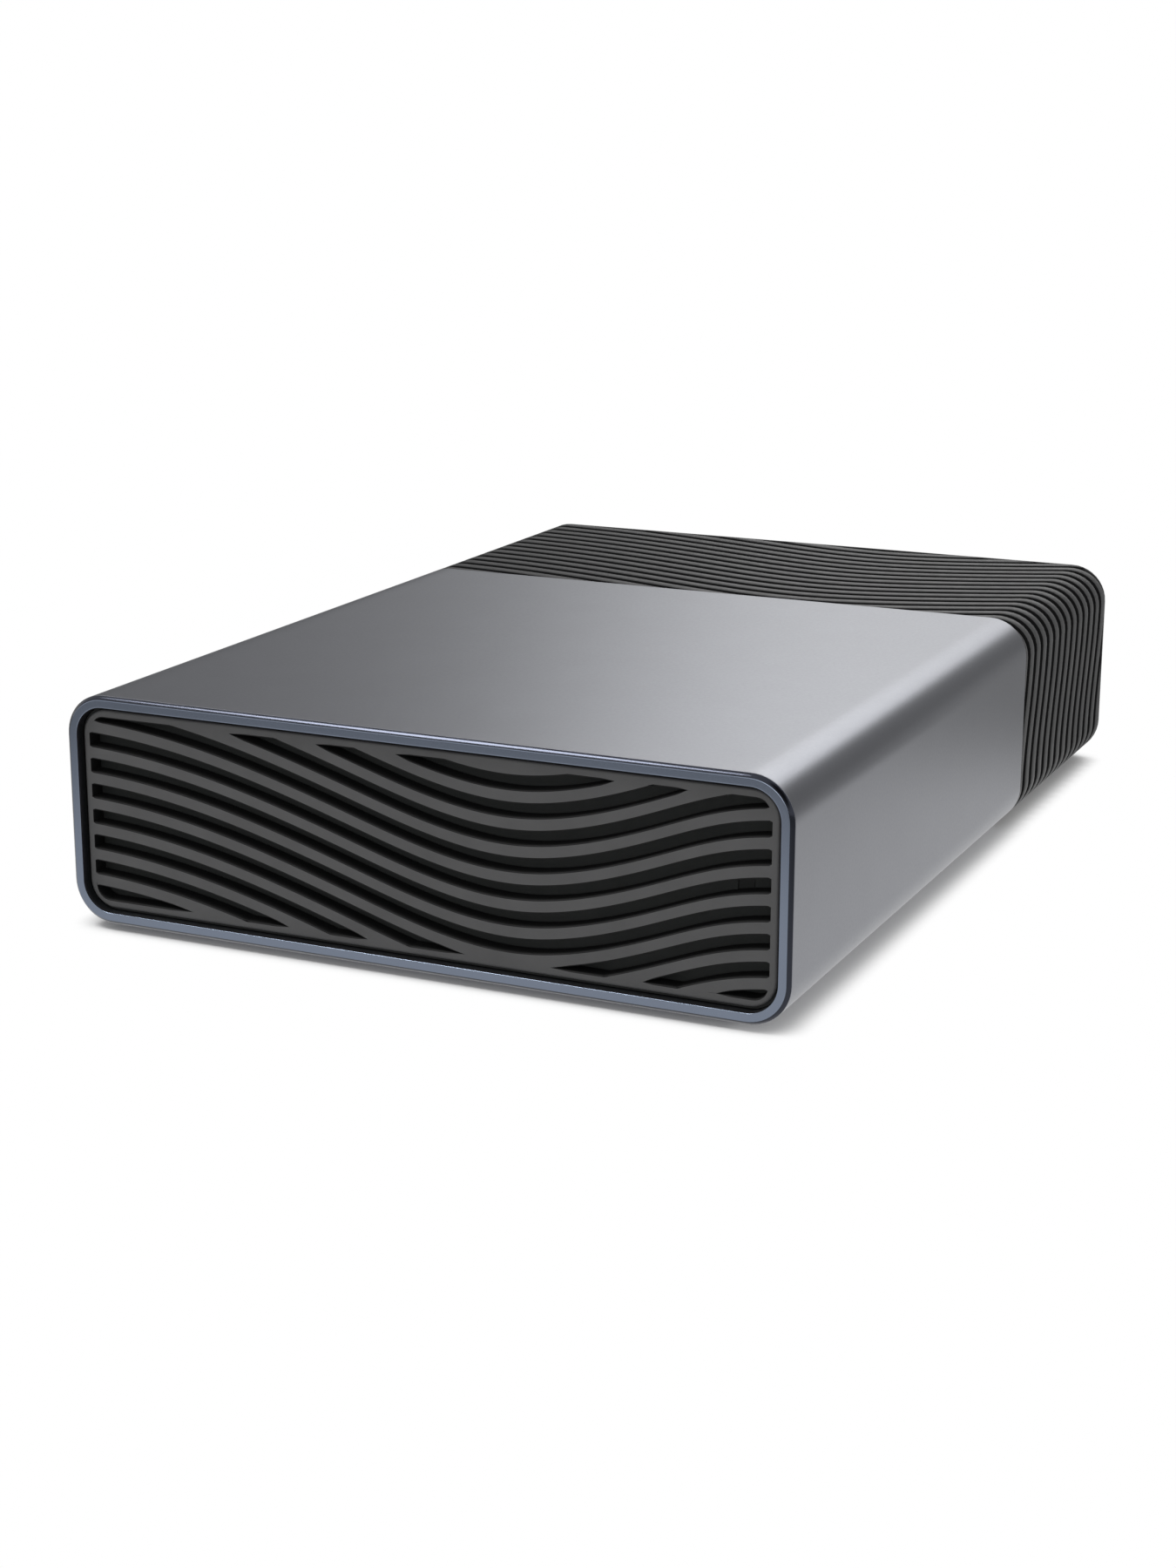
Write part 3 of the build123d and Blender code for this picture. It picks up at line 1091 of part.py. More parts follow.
with BuildPart() as voice_coil:
    extrude(sector(at_pivot(z_coil), COIL_IN_R, COIL_OUT_R, coil_angles[0] - COIL_HALF_ANGLE,
                   coil_angles[0] + COIL_HALF_ANGLE), amount=COIL_T)
    extrude(sector(at_pivot(z_coil), COIL_IN_R + COIL_WIRE, COIL_OUT_R - COIL_WIRE,
                   coil_angles[0] - COIL_HALF_ANGLE + coil_inset,
                   coil_angles[0] + COIL_HALF_ANGLE - coil_inset), amount=COIL_T, mode=Mode.SUBTRACT)
save(voice_coil, "voice_coil")

with BuildPart() as pivot_sleeve:
    disc(pivot_x, pivot_y, z_arm_low, z_arm_high, PIVOT_SLEEVE_R)
    disc(pivot_x, pivot_y, z_arm_low, z_arm_high, PIVOT_RACE_R + THREAD_FIT, Mode.SUBTRACT)
save(pivot_sleeve, "pivot_sleeve")

with BuildPart() as pivot_bearings:
    for z in (z_arm_low, z_arm_high - PIVOT_BEARING_H):
        disc(pivot_x, pivot_y, z, z + PIVOT_BEARING_H, PIVOT_RACE_R)
        disc(pivot_x, pivot_y, z, z + PIVOT_BEARING_H, PIVOT_SHAFT_R + PIVOT_FIT, Mode.SUBTRACT)
save(pivot_bearings, "pivot_bearings")

with BuildPart() as pivot_shaft:
    disc(pivot_x, pivot_y, z_deck, z_arm_high + HEAD_ROOM, PIVOT_SHAFT_R)
    disc(pivot_x, pivot_y, z_deck, z_arm_low - FIT, PIVOT_RACE_R - PIVOT_FOOT)
save(pivot_shaft, "pivot_shaft")

# Voice coil motor: two steel plates with magnets, on either side of the coil
vcm_start = coil_angles[1] - COIL_HALF_ANGLE - VCM_TURN
vcm_end = coil_angles[0] + COIL_HALF_ANGLE + VCM_TURN
vcm_in_r = HUB_R + VCM_ROOM
z_top_magnet = z_coil + COIL_T + MAGNET_GAP
with BuildPart() as vcm_bottom_plate:
    extrude(sector(at_pivot(z_deck), vcm_in_r, VCM_R, vcm_start, vcm_end), amount=VCM_PLATE_T)
save(vcm_bottom_plate, "vcm_bottom_plate")

with BuildPart() as vcm_top_plate:
    extrude(sector(at_pivot(z_top_magnet + VCM_MAGNET_T), vcm_in_r, VCM_R, vcm_start, vcm_end),
            amount=VCM_PLATE_T)
save(vcm_top_plate, "vcm_top_plate")

with BuildPart() as vcm_magnets:
    for z in (z_deck + VCM_PLATE_T, z_top_magnet):
        extrude(sector(at_pivot(z), COIL_IN_R - MAGNET_REACH, COIL_OUT_R + MAGNET_REACH, vcm_start + VCM_TURN,
                       vcm_end - VCM_TURN), amount=VCM_MAGNET_T)
save(vcm_magnets, "vcm_magnets")

with BuildPart() as vcm_posts:
    for angle in (vcm_start + VCM_POST_TURN, (vcm_start + vcm_end) / 2, vcm_end - VCM_POST_TURN):
        disc(pivot_x + POST_CIRCLE_R * cos(radians(angle)), pivot_y + POST_CIRCLE_R * sin(radians(angle)),
             z_deck + VCM_PLATE_T, z_top_magnet + VCM_MAGNET_T, VCM_POST_R)
save(vcm_posts, "vcm_posts")

with BuildPart() as crash_stops:
    stop_turn = bobbin_half + degrees((STOP_R + STOP_GAP) / STOP_REACH)
    for angle in (coil_angles[0] + stop_turn, coil_angles[1] - stop_turn):
        disc(pivot_x + STOP_REACH * cos(radians(angle)), pivot_y + STOP_REACH * sin(radians(angle)),
             z_deck, z_deck + STOP_H, STOP_R)
save(crash_stops, "crash_stops")

# Ramp: fins reach between the disks, so that the blades slide up and lift the heads off
ramp_in = ARM_L + RAMP_START
ramp_out = ramp_in + RAMP_W
ramp_end = park_angle + RAMP_HEEL
fin_t = ARM_PLATE_T - 2 * RAMP_FIN_FIT
with BuildPart() as load_ramp:
    for level in gap_levels:
        extrude(sector(at_pivot(level - fin_t / 2), ramp_in, ramp_out, toward_spindle + RAMP_TOE, ramp_end),
                amount=fin_t)
    extrude(sector(at_pivot(z_deck), ramp_out - RAMP_POST_W / 2, ramp_out + RAMP_POST_W / 2,
                   park_angle - RAMP_POST_TURN, ramp_end), amount=gap_levels[-1] + ARM_PLATE_T - z_deck)
save(load_ramp, "load_ramp")

latch_aim = (cos(radians(LATCH_AIM)), sin(radians(LATCH_AIM)), 0)
with BuildPart() as actuator_latch:
    with BuildSketch(Plane(origin=(latch_x, latch_y, z_coil), x_dir=latch_aim, z_dir=(0, 0, 1))):
        Circle(LATCH_W)
        with Locations((LATCH_L / 2, 0)):
            SlotCenterToCenter(LATCH_L, LATCH_W)
        Circle(LATCH_PIN_R + PIVOT_FIT, mode=Mode.SUBTRACT)
    extrude(amount=COIL_T)
save(actuator_latch, "actuator_latch")

# Flat cable from its bracket towards the arm
with BuildPart() as flex_cable:
    with BuildSketch(at_pivot(z_deck + FLEX_RISE, FLEX_AIM)):
        with BuildLine():
            bend = JernArc((HUB_R + 3 * FIT, 0), FLEX_START, FLEX_BEND_R, -FLEX_TURN)
            offset(bend, FLEX_T, side=Side.LEFT)
        make_face()
    extrude(amount=FLEX_H)
save(flex_cable, "flex_cable")

with BuildPart() as flex_bracket:
    with BuildSketch(at_pivot(z_deck, FLEX_AIM)):
        with Locations(((bend @ 1).X, (bend @ 1).Y - FIT - FLEX_BRACKET_L / 2)):
            RectangleRounded(FLEX_BRACKET_W, FLEX_BRACKET_L, FLEX_BRACKET_R)
    extrude(amount=FLEX_RISE + FLEX_H)
save(flex_bracket, "flex_bracket")

# Filters: one in the air stream of the disks, one under the breather hole of the cover
with BuildPart() as recirculation_filter:
    slab(BAY_W / 2 - FILTER_T - 3 * FIT, BAY_W / 2 - 3 * FIT, y_bay_end - BAY_CORNER_R - FILTER_L,
         y_bay_end - BAY_CORNER_R, z_deck, z_deck + FILTER_H)
    fillet(recirculation_filter.edges().filter_by(Axis.Z), FILTER_CORNER_R)
save(recirculation_filter, "recirculation_filter")

with BuildPart() as breather_filter:
    disc(BREATHER_X, y_spindle + BREATHER_Y, z_cover - BREATHER_T, z_cover, BREATHER_R)
save(breather_filter, "breather_filter")
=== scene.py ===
"""Looks of an external desktop hard drive: a satin anodised sleeve between a wavy front
grille and a ribbed rear cap. Surfaces are worked out in millimetres and stored in metres,
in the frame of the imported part: +Z up, front towards -Y.
"""
import json
from math import cos, pi, radians, sin

import bmesh
import bpy
import numpy as np
from bpy.props import FloatProperty, FloatVectorProperty, IntProperty, PointerProperty
from mathutils import Euler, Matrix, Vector


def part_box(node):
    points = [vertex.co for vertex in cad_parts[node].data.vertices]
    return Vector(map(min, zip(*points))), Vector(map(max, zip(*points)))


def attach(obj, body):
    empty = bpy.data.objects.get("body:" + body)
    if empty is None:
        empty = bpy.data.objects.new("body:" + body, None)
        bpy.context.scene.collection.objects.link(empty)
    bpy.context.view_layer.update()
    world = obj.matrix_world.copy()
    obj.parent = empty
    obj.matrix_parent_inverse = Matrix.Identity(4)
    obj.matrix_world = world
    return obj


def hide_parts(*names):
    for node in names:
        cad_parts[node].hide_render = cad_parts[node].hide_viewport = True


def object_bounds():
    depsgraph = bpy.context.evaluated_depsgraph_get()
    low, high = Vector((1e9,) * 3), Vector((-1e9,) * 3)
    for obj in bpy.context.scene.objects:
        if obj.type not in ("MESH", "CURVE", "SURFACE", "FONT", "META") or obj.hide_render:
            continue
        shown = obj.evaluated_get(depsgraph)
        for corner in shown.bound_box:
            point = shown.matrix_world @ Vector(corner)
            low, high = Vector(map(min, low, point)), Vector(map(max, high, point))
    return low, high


bl_info = {
    "name": "Desktop Drive Looks",
    "version": (1, 0, 0),
    "blender": (4, 5, 0),
    "location": "View3D > Sidebar > Drive",
    "description": "Builds the case surfaces, the finishes and the studio of a desktop hard drive",
    "category": "Object",
}

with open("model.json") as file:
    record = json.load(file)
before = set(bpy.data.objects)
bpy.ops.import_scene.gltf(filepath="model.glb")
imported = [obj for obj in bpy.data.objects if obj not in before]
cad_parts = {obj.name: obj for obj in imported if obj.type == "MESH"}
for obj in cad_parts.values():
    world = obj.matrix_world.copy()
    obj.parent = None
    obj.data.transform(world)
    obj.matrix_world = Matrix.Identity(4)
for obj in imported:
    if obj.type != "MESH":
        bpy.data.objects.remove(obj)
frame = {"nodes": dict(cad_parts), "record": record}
cad_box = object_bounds()

MM = 0.001
WELD = 2e-6               # distance at which neighbouring grids are joined, in metres
SHARP = radians(32)       # edges steeper than this stay crisp


def box_mm(node):
    """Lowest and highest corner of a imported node, in millimetres."""
    low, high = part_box(node)
    return np.array(low) / MM, np.array(high) / MM


SLEEVE_LOW, SLEEVE_HIGH = box_mm("sleeve")
GRILLE_LOW, GRILLE_HIGH = box_mm("front_grille")
CAP_LOW, CAP_HIGH = box_mm("rear_cap")
USB_LOW, USB_HIGH = box_mm("usb_shell")
JACK_LOW, JACK_HIGH = box_mm("dc_jack")
FEET_HIGH = box_mm("rubber_feet")[1]

# One wave across the case: shares of the half width, and of the drop from crest to trough
WAVE_START = [(-1.02, -0.01), (-0.6, 0.168), (-0.19, 0.613), (0.28, 1.0)]
GRILLE_WAVE = WAVE_START + [(0.64, 0.654), (0.82, 0.395), (1.02, 0.29)]
CAP_WAVE = WAVE_START + [(0.64, 0.66), (1.02, 0.0)]
CAP_WAVE_RISE = 0.46      # slope of the cap's wave at its right end

# Shares at which the space between two slots is divided, on the grille and on the rear wall
RIB_RUNGS = (0, 0.04, 0.96, 1)
WALL_RUNGS = (0, 0.02, 0.2, 0.4, 0.6, 0.8, 0.98, 1)

FOOT_RADIUS = 6.0
JACK_BARREL = 8.0         # outer diameter of the power jack's round mouth
JACK_DROP = 4.3           # from the top of the jack to the middle of its mouth
LAND_EDGE = 0.5           # width over which a groove fades out at the ring round a foot
# Grooves deeper than this share of their depth get near-black painted shade
DEEP_SHARE = 0.2          # share of the groove depth below which the grooves' finish starts
FINE_STEPS = 4001         # samples across the case where the slots' ends are looked for
GRILLE_NEAREST, CAP_NEAREST = 0.05, 0.001    # least distance between columns
TOUCH = 1e-6              # heights that lie closer than this count as one
SLIVER = 1e-4             # openings narrower than this count as closed
SLOTS_BELOW, SLOTS_ABOVE = 7, 4    # slots of the grille below and above the highest full one

# Columns across a corner of the grille, a corner of the cap, a slot's round end and the rest of
# the cap, points across a groove, steps round an opening's edge, and the points of the sleeve
# across its top, up its side and round its corner
GRILLE_CORNER, CAP_CORNER, ROUND_END, CAP_COLUMNS = 9, 11, 8, 66
GROOVE_STEPS, LIP_STEPS = 9, 4
SLEEVE_ACROSS, SLEEVE_UP, SLEEVE_CORNER = 61, 21, 14

# Reach of the paper's painted glow past the footprint, in metres: a pool of light that mirrors see,
# strongest by the object;
# the footprint is moved to the front, and distances to the front and back count for more
GLOW_SHIFT = (0, 0.05, 0)
GLOW_STRETCH = (1, 1.5, 1)
GLOW_REACH = 0.13
# Levels of the painted glow by the object and far away
GLOW_NEAR, GLOW_FAR = 0.98, 0.3
MIRRORED_GLOW = 0.85      # share of the glow in what a mirror sees of the paper
# Painted contact shadow: where ambient occlusion within this reach finds the object close, the camera's
# white glow gives way to the lit paper; the two levels below are where that starts and ends
CONTACT_REACH = 0.006     # how close over the paper the object has to be to darken it
CONTACT_DARK, CONTACT_LIT = 0.3, 0.85
# The camera sees the paper darker than the lamps light it: painted shade that deepens the contact shadow
PAPER_SEEN, PAPER_LIT = 0.6, 0.82
NOISE_LOW, NOISE_HIGH = 0.3, 0.7   # part of a noise's range that most of its values lie in

# Surroundings: dark zones as (turn from +Y towards +X, rise, half angle of the full zone, half
# angle of its edge, level), in degrees, on a sphere that is pressed flat
DARK_ZONES = ((-44, 3.4, 20.2, 24.2, 0.15), (41.5, -9.5, 35.5, 41.1, 0.295), (126, 34, 14, 32, 0.1))
ZONE_PRESS = (1, 1, 0.756)
DIFFUSE_LEVEL = 0.63

# Softboxes as (setting of the power, name, place, target, size), in metres
SOFTBOXES = (
    ("key", "key", (-0.4, -0.31, 0.815), (0, -0.09, 0.04), (0.27, 0.25)),
    ("rim", "back", (-0.104, 1.095, 0.684), (0, -0.03, 0.04), (0.88, 0.4)),
    ("fill", "front", (0.2, -1.0, 0.35), (0, 0, 0), (0.8, 0.4)),
    ("side", "side", (1.0, 0.1, 0.2), (0, 0.05, 0.02), (0.5, 0.3)),
)
UNMIRRORED = ("side",)    # softboxes that metal doesn't mirror
FLOOR_HALF = 6.0


def number(name, text, value, **more):
    """A number for a settings group."""
    return FloatProperty(name=name, description=text, default=value, **more)


def length(name, text, value):
    """A size in millimetres for a settings group."""
    return number(name, text, value, min=0.0)


def colour(name, text, value):
    """A colour for a settings group, in linear light."""
    return FloatVectorProperty(name=name, description=text, default=value, min=0.0, max=1.0,
                               subtype="COLOR")


class DriveCaseSettings(bpy.types.PropertyGroup):
    """Sizes of the case, in millimetres."""
    corner: length("Corner radius", "Outer corner of the case section", 6.8)
    wall: length("Sleeve wall", "Thickness of the aluminium sleeve", 1.9)
    chamfer: length("Front chamfer", "Cut edge round the front of the sleeve", 0.62)
    edge: length("Edge softening", "Radius left on the sleeve's cut edges", 0.1)
    pitch: length("Wave pitch", "Distance from one wave to the next", 4.18)
    drop: length("Wave drop", "Height of a wave from crest to trough", 15.1)


class DriveGrilleSettings(bpy.types.PropertyGroup):
    """Sizes of the front grille, in millimetres."""
    slot: length("Slot height", "Opening between two ribs", 2.05)
    border: length("Side border", "Plain border left and right of the slots", 1.1)
    end: length("Top border", "Plain border above and below the slots", 1.3)
    window: length("Window corner", "Corner radius of the slotted window", 2.6)
    first: length("First slot", "Crest of the highest full slot above the case bottom", 29.87)
    corner: length("Plate corner", "Corner radius of the grille plate", 4.3)
    edge: length("Plate edge", "Rounding round the front of the plate", 0.4)
    lip: length("Rib edge", "Rounding along the ribs", 0.22)
    columns: IntProperty(name="Columns", description="Steps across the grille", default=170, min=20)


class DriveCapSettings(bpy.types.PropertyGroup):
    """Sizes of the rear cap, in millimetres."""
    depth: length("Groove depth", "Depth of the grooves between the ribs", 0.8)
    reach: length("Groove half width", "From the middle of a groove to the crown of its ribs", 1.25)
    start: length("First groove", "First groove behind the joint at the left crest", 2.8)
    rim: length("Rear rim", "Plain rim behind the ribs", 1.2)
    fillet: length("Rear fillet", "Rounding of the rear edge", 0.9)
    wall: length("Wall", "Thickness of the moulding", 2.4)
    rear_wall: length("Rear wall", "Thickness of the rear wall", 2.6)
    spigot: length("Spigot wall", "Thickness of the tongue inside the sleeve", 1.4)
    fit: length("Clearance", "Clearance between case parts", 0.1)
    lip: length("Opening edge", "Rounding of the openings in the rear wall", 0.25)
    land: length("Foot land", "Radius of the plain ring round a foot", 7.4)
    vent_width: length("Vent width", "Width of a vent slot", 1.8)
    vent_height: length("Vent height", "Height of a vent slot", 12.0)
    vent_pitch: length("Vent pitch", "Distance between vent slots", 4.2)
    vent_x: length("Vent place", "Middle of the row of vent slots", 20.0)
    vents: IntProperty(name="Vents", description="Number of vent slots", default=9, min=0)
    lock_x: length("Lock place", "Middle of the lock slot", 48.0)
    lock_width: length("Lock width", "Width of the lock slot", 3.0)
    lock_height: length("Lock height", "Height of the lock slot", 7.0)
    port_fit: length("Port clearance", "Clearance round the connectors", 0.2)


class DriveFinishSettings(bpy.types.PropertyGroup):
    """Colours of the outer finishes."""
    sleeve: colour("Sleeve", "Satin anodised aluminium", (0.23, 0.236, 0.259))
    cut: colour("Cut face", "Blue-grey cut face round the front", (0.178, 0.206, 0.262))
    # Its dark colour stands in for dark reflections round the cut edge: painted shade; the real cut
    # chamfer is brighter metal, and its highlight comes from the key light
    chamfer: colour("Cut chamfer", "Dark polished chamfer outside the cut face", (0.036, 0.039, 0.05))
    grille: colour("Grille", "Moulded grille", (0.066, 0.066, 0.067))
    cap: colour("Rear cap", "Moulded rear cap", (0.034, 0.034, 0.0345))
    # Near-black for the cap's grooves and the grille's slot walls: painted shade in these recesses, not
    # grain or the plastic's own colour
    groove: colour("Groove", "Deep-grained grooves and slot walls", (0.003, 0.003, 0.0031))


class DriveStageSettings(bpy.types.PropertyGroup):
    """Camera and lights."""
    azimuth: number("Azimuth", "Camera turned from the front towards +X", radians(24.7), subtype="ANGLE")
    elevation: number("Elevation", "Camera above the horizon", radians(15.37), subtype="ANGLE")
    roll: number("Roll", "Camera turned about its axis", 0.0021, subtype="ANGLE")
    distance: number("Distance", "Camera to its target", 0.3867, unit="LENGTH")
    lens: number("Lens", "Focal length on a 36 mm frame", 61.68, unit="CAMERA")
    target: FloatVectorProperty(name="Target", description="Point in the middle of the picture",
                                default=(0.0291, -0.0863, 0.0338), subtype="XYZ", unit="LENGTH")
    key: number("Key light", "Power of the light above", 3.8)
    rim: number("Back light", "Power of the light behind", 2.26)
    fill: number("Fill light", "Power of the light at the front", 1.5)
    side: number("Side light", "Power of the light at the right", 9.0)


def wave(x, half, shares, depth, end_slope):
    """Drop of the wave at x: a cubic spline through the shares, level at its start. The second
    derivatives m solve the usual band of equations; between two knots the height is
    a*y0 + b*y1 + ((a^3 - a)*m0 + (b^3 - b)*m1) * h^2 / 6, with a and b the shares of the span."""
    knots, drops = np.transpose(shares) * [[half], [depth]]
    h = np.diff(knots)
    slopes = np.diff(drops) / h
    count = len(knots)
    band = np.zeros((count, count))
    right = np.zeros(count)
    inner = np.arange(1, count - 1)
    band[inner, inner - 1] = h[:-1]
    band[inner, inner] = 2 * (h[:-1] + h[1:])
    band[inner, inner + 1] = h[1:]
    right[inner] = 6 * np.diff(slopes)
    band[0, :2] = 2 * h[0], h[0]
    right[0] = 6 * slopes[0]
    band[-1, -2:] = h[-1], 2 * h[-1]
    right[-1] = 6 * (end_slope - slopes[-1])
    m = np.linalg.solve(band, right)
    i = np.clip(np.searchsorted(knots, x) - 1, 0, count - 2)
    a = (knots[i + 1] - x) / h[i]
    b = 1 - a
    bend = (a ** 3 - a) * m[i] + (b ** 3 - b) * m[i + 1]
    return a * drops[i] + b * drops[i + 1] + bend * h[i] ** 2 / 6


def distinct(values, gap):
    """Sorted values without those that lie nearer than gap to the one before."""
    values = np.unique(values)
    return values[np.insert(np.diff(values) > gap, 0, True)]


def grid_quads(rows, columns, start, wrap_rows, wrap_columns):
    """Vertex indices of the quads of a grid whose vertices are numbered row by row from start."""
    i, j = np.indices((rows - (not wrap_rows), columns - (not wrap_columns)))
    up, side = (i + 1) % rows, (j + 1) % columns
    quads = np.stack([i * columns + j, i * columns + side, up * columns + side, up * columns + j], -1)
    return quads + start


class Shell:
    """Grids in millimetres that are welded into one closed mesh."""

    def __init__(self):
        self.points, self.quads, self.slots, self.count = [], [], [], 0

    def add(self, points, keep=True, slot=0, wrap_rows=False, wrap_columns=False):
        """Adds a grid of points (rows, columns, 3); keep says which of its quads exist."""
        rows, columns = points.shape[:2]
        quads = grid_quads(rows, columns, self.count, wrap_rows, wrap_columns)
        slots, mask = (np.broadcast_to(value, quads.shape[:2]) for value in (slot, keep))
        self.points.append(points.reshape(-1, 3))
        self.quads.append(quads[mask])
        self.slots.append(slots[mask])
        self.count += rows * columns

    def piece(self, name, materials, body, slot, node):
        """Welds the grids, turns the faces outwards and puts the piece on its body."""
        mesh = bpy.data.meshes.new(name)
        quads = np.concatenate(self.quads)
        mesh.from_pydata(np.concatenate(self.points) * MM, [], quads.tolist())
        mesh.polygons.foreach_set("material_index", np.concatenate(self.slots).astype(np.int32))
        work = bmesh.new()
        work.from_mesh(mesh)
        bmesh.ops.remove_doubles(work, verts=work.verts, dist=WELD)
        bmesh.ops.dissolve_degenerate(work, edges=work.edges, dist=WELD / 2)
        bmesh.ops.recalc_face_normals(work, faces=work.faces)
        work.to_mesh(mesh)
        work.free()
        mesh.shade_smooth()
        mesh.set_sharp_from_angle(angle=SHARP)
        for material in materials:
            mesh.materials.append(material)
        piece = bpy.data.objects.new(name, mesh)
        bpy.context.scene.collection.objects.link(piece)
        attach(piece, body)
        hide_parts(node)


def outline(half, low, high, corner, top_x, side_z, arc_steps):
    """Core points and outward normals round a rounded rectangle, from the bottom left
    anticlockwise. A point at some inset is core + (corner - inset) * normal."""
    turn = np.linspace(0, pi / 2, arc_steps + 1)
    right, top, bottom = half - corner, high - corner, low + corner
    across = top_x[(top_x > -right) & (top_x < right)]
    up = side_z[(side_z > bottom) & (side_z < top)]
    parts = [
        (across, bottom, 0 * across, -1 + 0 * across),
        (right, bottom, np.sin(turn), -np.cos(turn)),
        (right, up, 1 + 0 * up, 0 * up),
        (right, top, np.cos(turn), np.sin(turn)),
        (across[::-1], top, 0 * across, 1 + 0 * across),
        (-right, top, -np.sin(turn), np.cos(turn)),
        (-right, up[::-1], -1 + 0 * up, 0 * up),
        (-right, bottom, -np.cos(turn), -np.sin(turn)),
    ]
    loop = np.concatenate([np.stack(np.broadcast_arrays(*part), -1) for part in parts])
    return loop[:, :2], loop[:, 2:]


def at_depth(points, y):
    """Points (x, z) at a depth, as (x, y, z)."""
    return np.stack([points[..., 0], np.broadcast_to(y, points.shape[:-1]), points[..., 1]], -1)


def swept(core, normals, corner, y, inset):
    """Grid of a profile carried round an outline. The y and inset of its points are the same all
    the way round, or have a row for each point of the outline."""
    return at_depth(core[:, None] + (corner - inset)[..., None] * normals[:, None], y)


def arc(y, inset, radius, start, end, steps=4):
    """Points of (y, inset) on a circle about a centre, from one angle to another in degrees."""
    angles = np.radians(np.linspace(start, end, steps + 1))
    return [(y + radius * cos(a), inset + radius * sin(a)) for a in angles]


def sleeve_profile(case):
    """Closed (y, inset) profile of the sleeve wall: outside, cut chamfer, cut face, inside. Points
    a little beside each rounded edge keep the long faces flat."""
    front, joint, soft, beside = SLEEVE_LOW[1], SLEEVE_HIGH[1], case.edge, 1.5 * case.edge
    outside = [(joint, soft), (joint - soft, 0.0), (front + case.chamfer + soft + beside, 0.0)]
    chamfer = [(front + case.chamfer + soft, 0.0), (front + case.chamfer, soft * 0.3),
               (front + soft * 0.3, case.chamfer), (front, case.chamfer + soft)]
    face = [(front, case.chamfer + soft + beside), (front, case.wall - soft - beside)]
    inner_edge = arc(front + soft, case.wall - soft, soft, 180, 90)
    inside = [(front + soft + beside, case.wall), (joint - soft, case.wall), (joint, case.wall - soft)]
    cut = len(chamfer) + len(face) + len(inner_edge) - 1
    return outside + chamfer + face + inner_edge + inside, len(outside), cut


def plate(shell, x, lows, highs, lips, holes, edges, box, rungs, painted_shade_slot=0):
    """Adds a plate across the case that is pierced by holes, one hole per row in each column.
    x are the columns, lows and highs the lower and upper edge of each row's hole, lips the
    rounding there, holes the quads that are open, and edges the outward normals of the edges.
    box is (half, low, high, corner, edge radius, face y, back y, back inset), and rungs are the
    shares at which the space between two edges is divided, close to each edge so that the flat
    between them stays flat."""
    half, low, high, corner, soft, face, back, back_inset = box
    side = np.maximum(np.abs(x) - (half - corner), 0)
    rise = np.sqrt(np.maximum((corner - soft) ** 2 - side ** 2, 0))
    bottom, top = low + corner - rise, high - corner + rise
    inwards = 1 if back > face else -1

    # Outline points of each row: plain position, and the normal away from the hole
    rows, away = [np.stack([x, bottom], -1)], [np.zeros((len(x), 2))]
    for k, lip in enumerate(lips):
        for level, normal in ((lows[k], edges[0][k]), (highs[k], edges[1][k])):
            rows.append(np.stack([x, np.clip(level, bottom, top)], -1))
            away.append(normal * lip[:, None])
    rows.append(np.stack([x, top], -1))
    away.append(np.zeros((len(x), 2)))
    rows, away = np.array(rows), np.array(away)
    rim = np.zeros((*rows.shape[:2], 1), bool)
    rim[[0, -1]] = rim[:, [0, -1]] = True
    outwards = loop_frame(rows, half, low, high, corner)[1] * rim

    share = np.array(rungs)[:, None, None]
    for y, offset, soften in ((face, 0, 1), (back, soft - back_inset, 0)):
        sheet = rows + outwards * offset + away * soften
        level, height = rows[1:-1, :, 1], sheet[1:-1, :, 1]
        for edge, pick in ((level[0], np.min), (level[-1], np.max)):
            cut = np.abs(level - edge) < TOUCH
            ends = pick(np.where(cut, height, edge), axis=0)
            height[:] = np.where(cut, ends, height)
        for r in range(len(rows) - 1):
            strip = sheet[r] * (1 - share) + sheet[r + 1] * share
            shell.add(at_depth(strip, y), keep=~holes[r // 2] if r % 2 else True)

    turn = np.linspace(0, pi / 2, LIP_STEPS + 1)
    for k, lip in enumerate(lips):
        for r in (2 * k + 1, 2 * k + 2):
            offsets = away[r] * (1 - np.sin(turn))[:, None, None]
            depths = face + inwards * lip * (1 - np.cos(turn))[:, None]
            bend = at_depth(rows[r] + offsets, depths)
            end = at_depth(rows[r][None], back)
            # The walls round each opening take the given slot; on the grille it holds near-black painted
            # shade for the inside of the slots
            shell.add(np.concatenate([bend, end]), keep=holes[k], slot=painted_shade_slot)
        ends = np.flatnonzero(holes[k][1:] != holes[k][:-1]) + 1
        ends = ends[rows[2 * k + 2][ends, 1] - rows[2 * k + 1][ends, 1] > SLIVER]
        for i in ends:
            wall = np.stack([rows[2 * k + 1][i], rows[2 * k + 2][i]])
            shell.add(np.stack([at_depth(wall, face), at_depth(wall, back)]), slot=painted_shade_slot)

    right, left = divided(rows[:, -1], rungs), divided(rows[::-1, 0], rungs)
    return np.concatenate([side[:-1] for side in (rows[0], right, rows[-1][::-1], left)])


def divided(points, rungs):
    """Points of a polyline with each of its spans cut at the same shares of its length."""
    spans = points[:-1, None] + (points[1:] - points[:-1])[:, None] * np.array(rungs)[:-1, None]
    return np.concatenate([spans.reshape(-1, 2), points[-1:]])


def loop_frame(loop, half, low, high, corner):
    """Core points and outward normals of a loop of points on a rounded rectangle."""
    core = np.clip(loop, [-(half - corner), low + corner], [half - corner, high - corner])
    normals = loop - core
    return core, normals / np.maximum(np.linalg.norm(normals, axis=-1, keepdims=True), TOUCH)


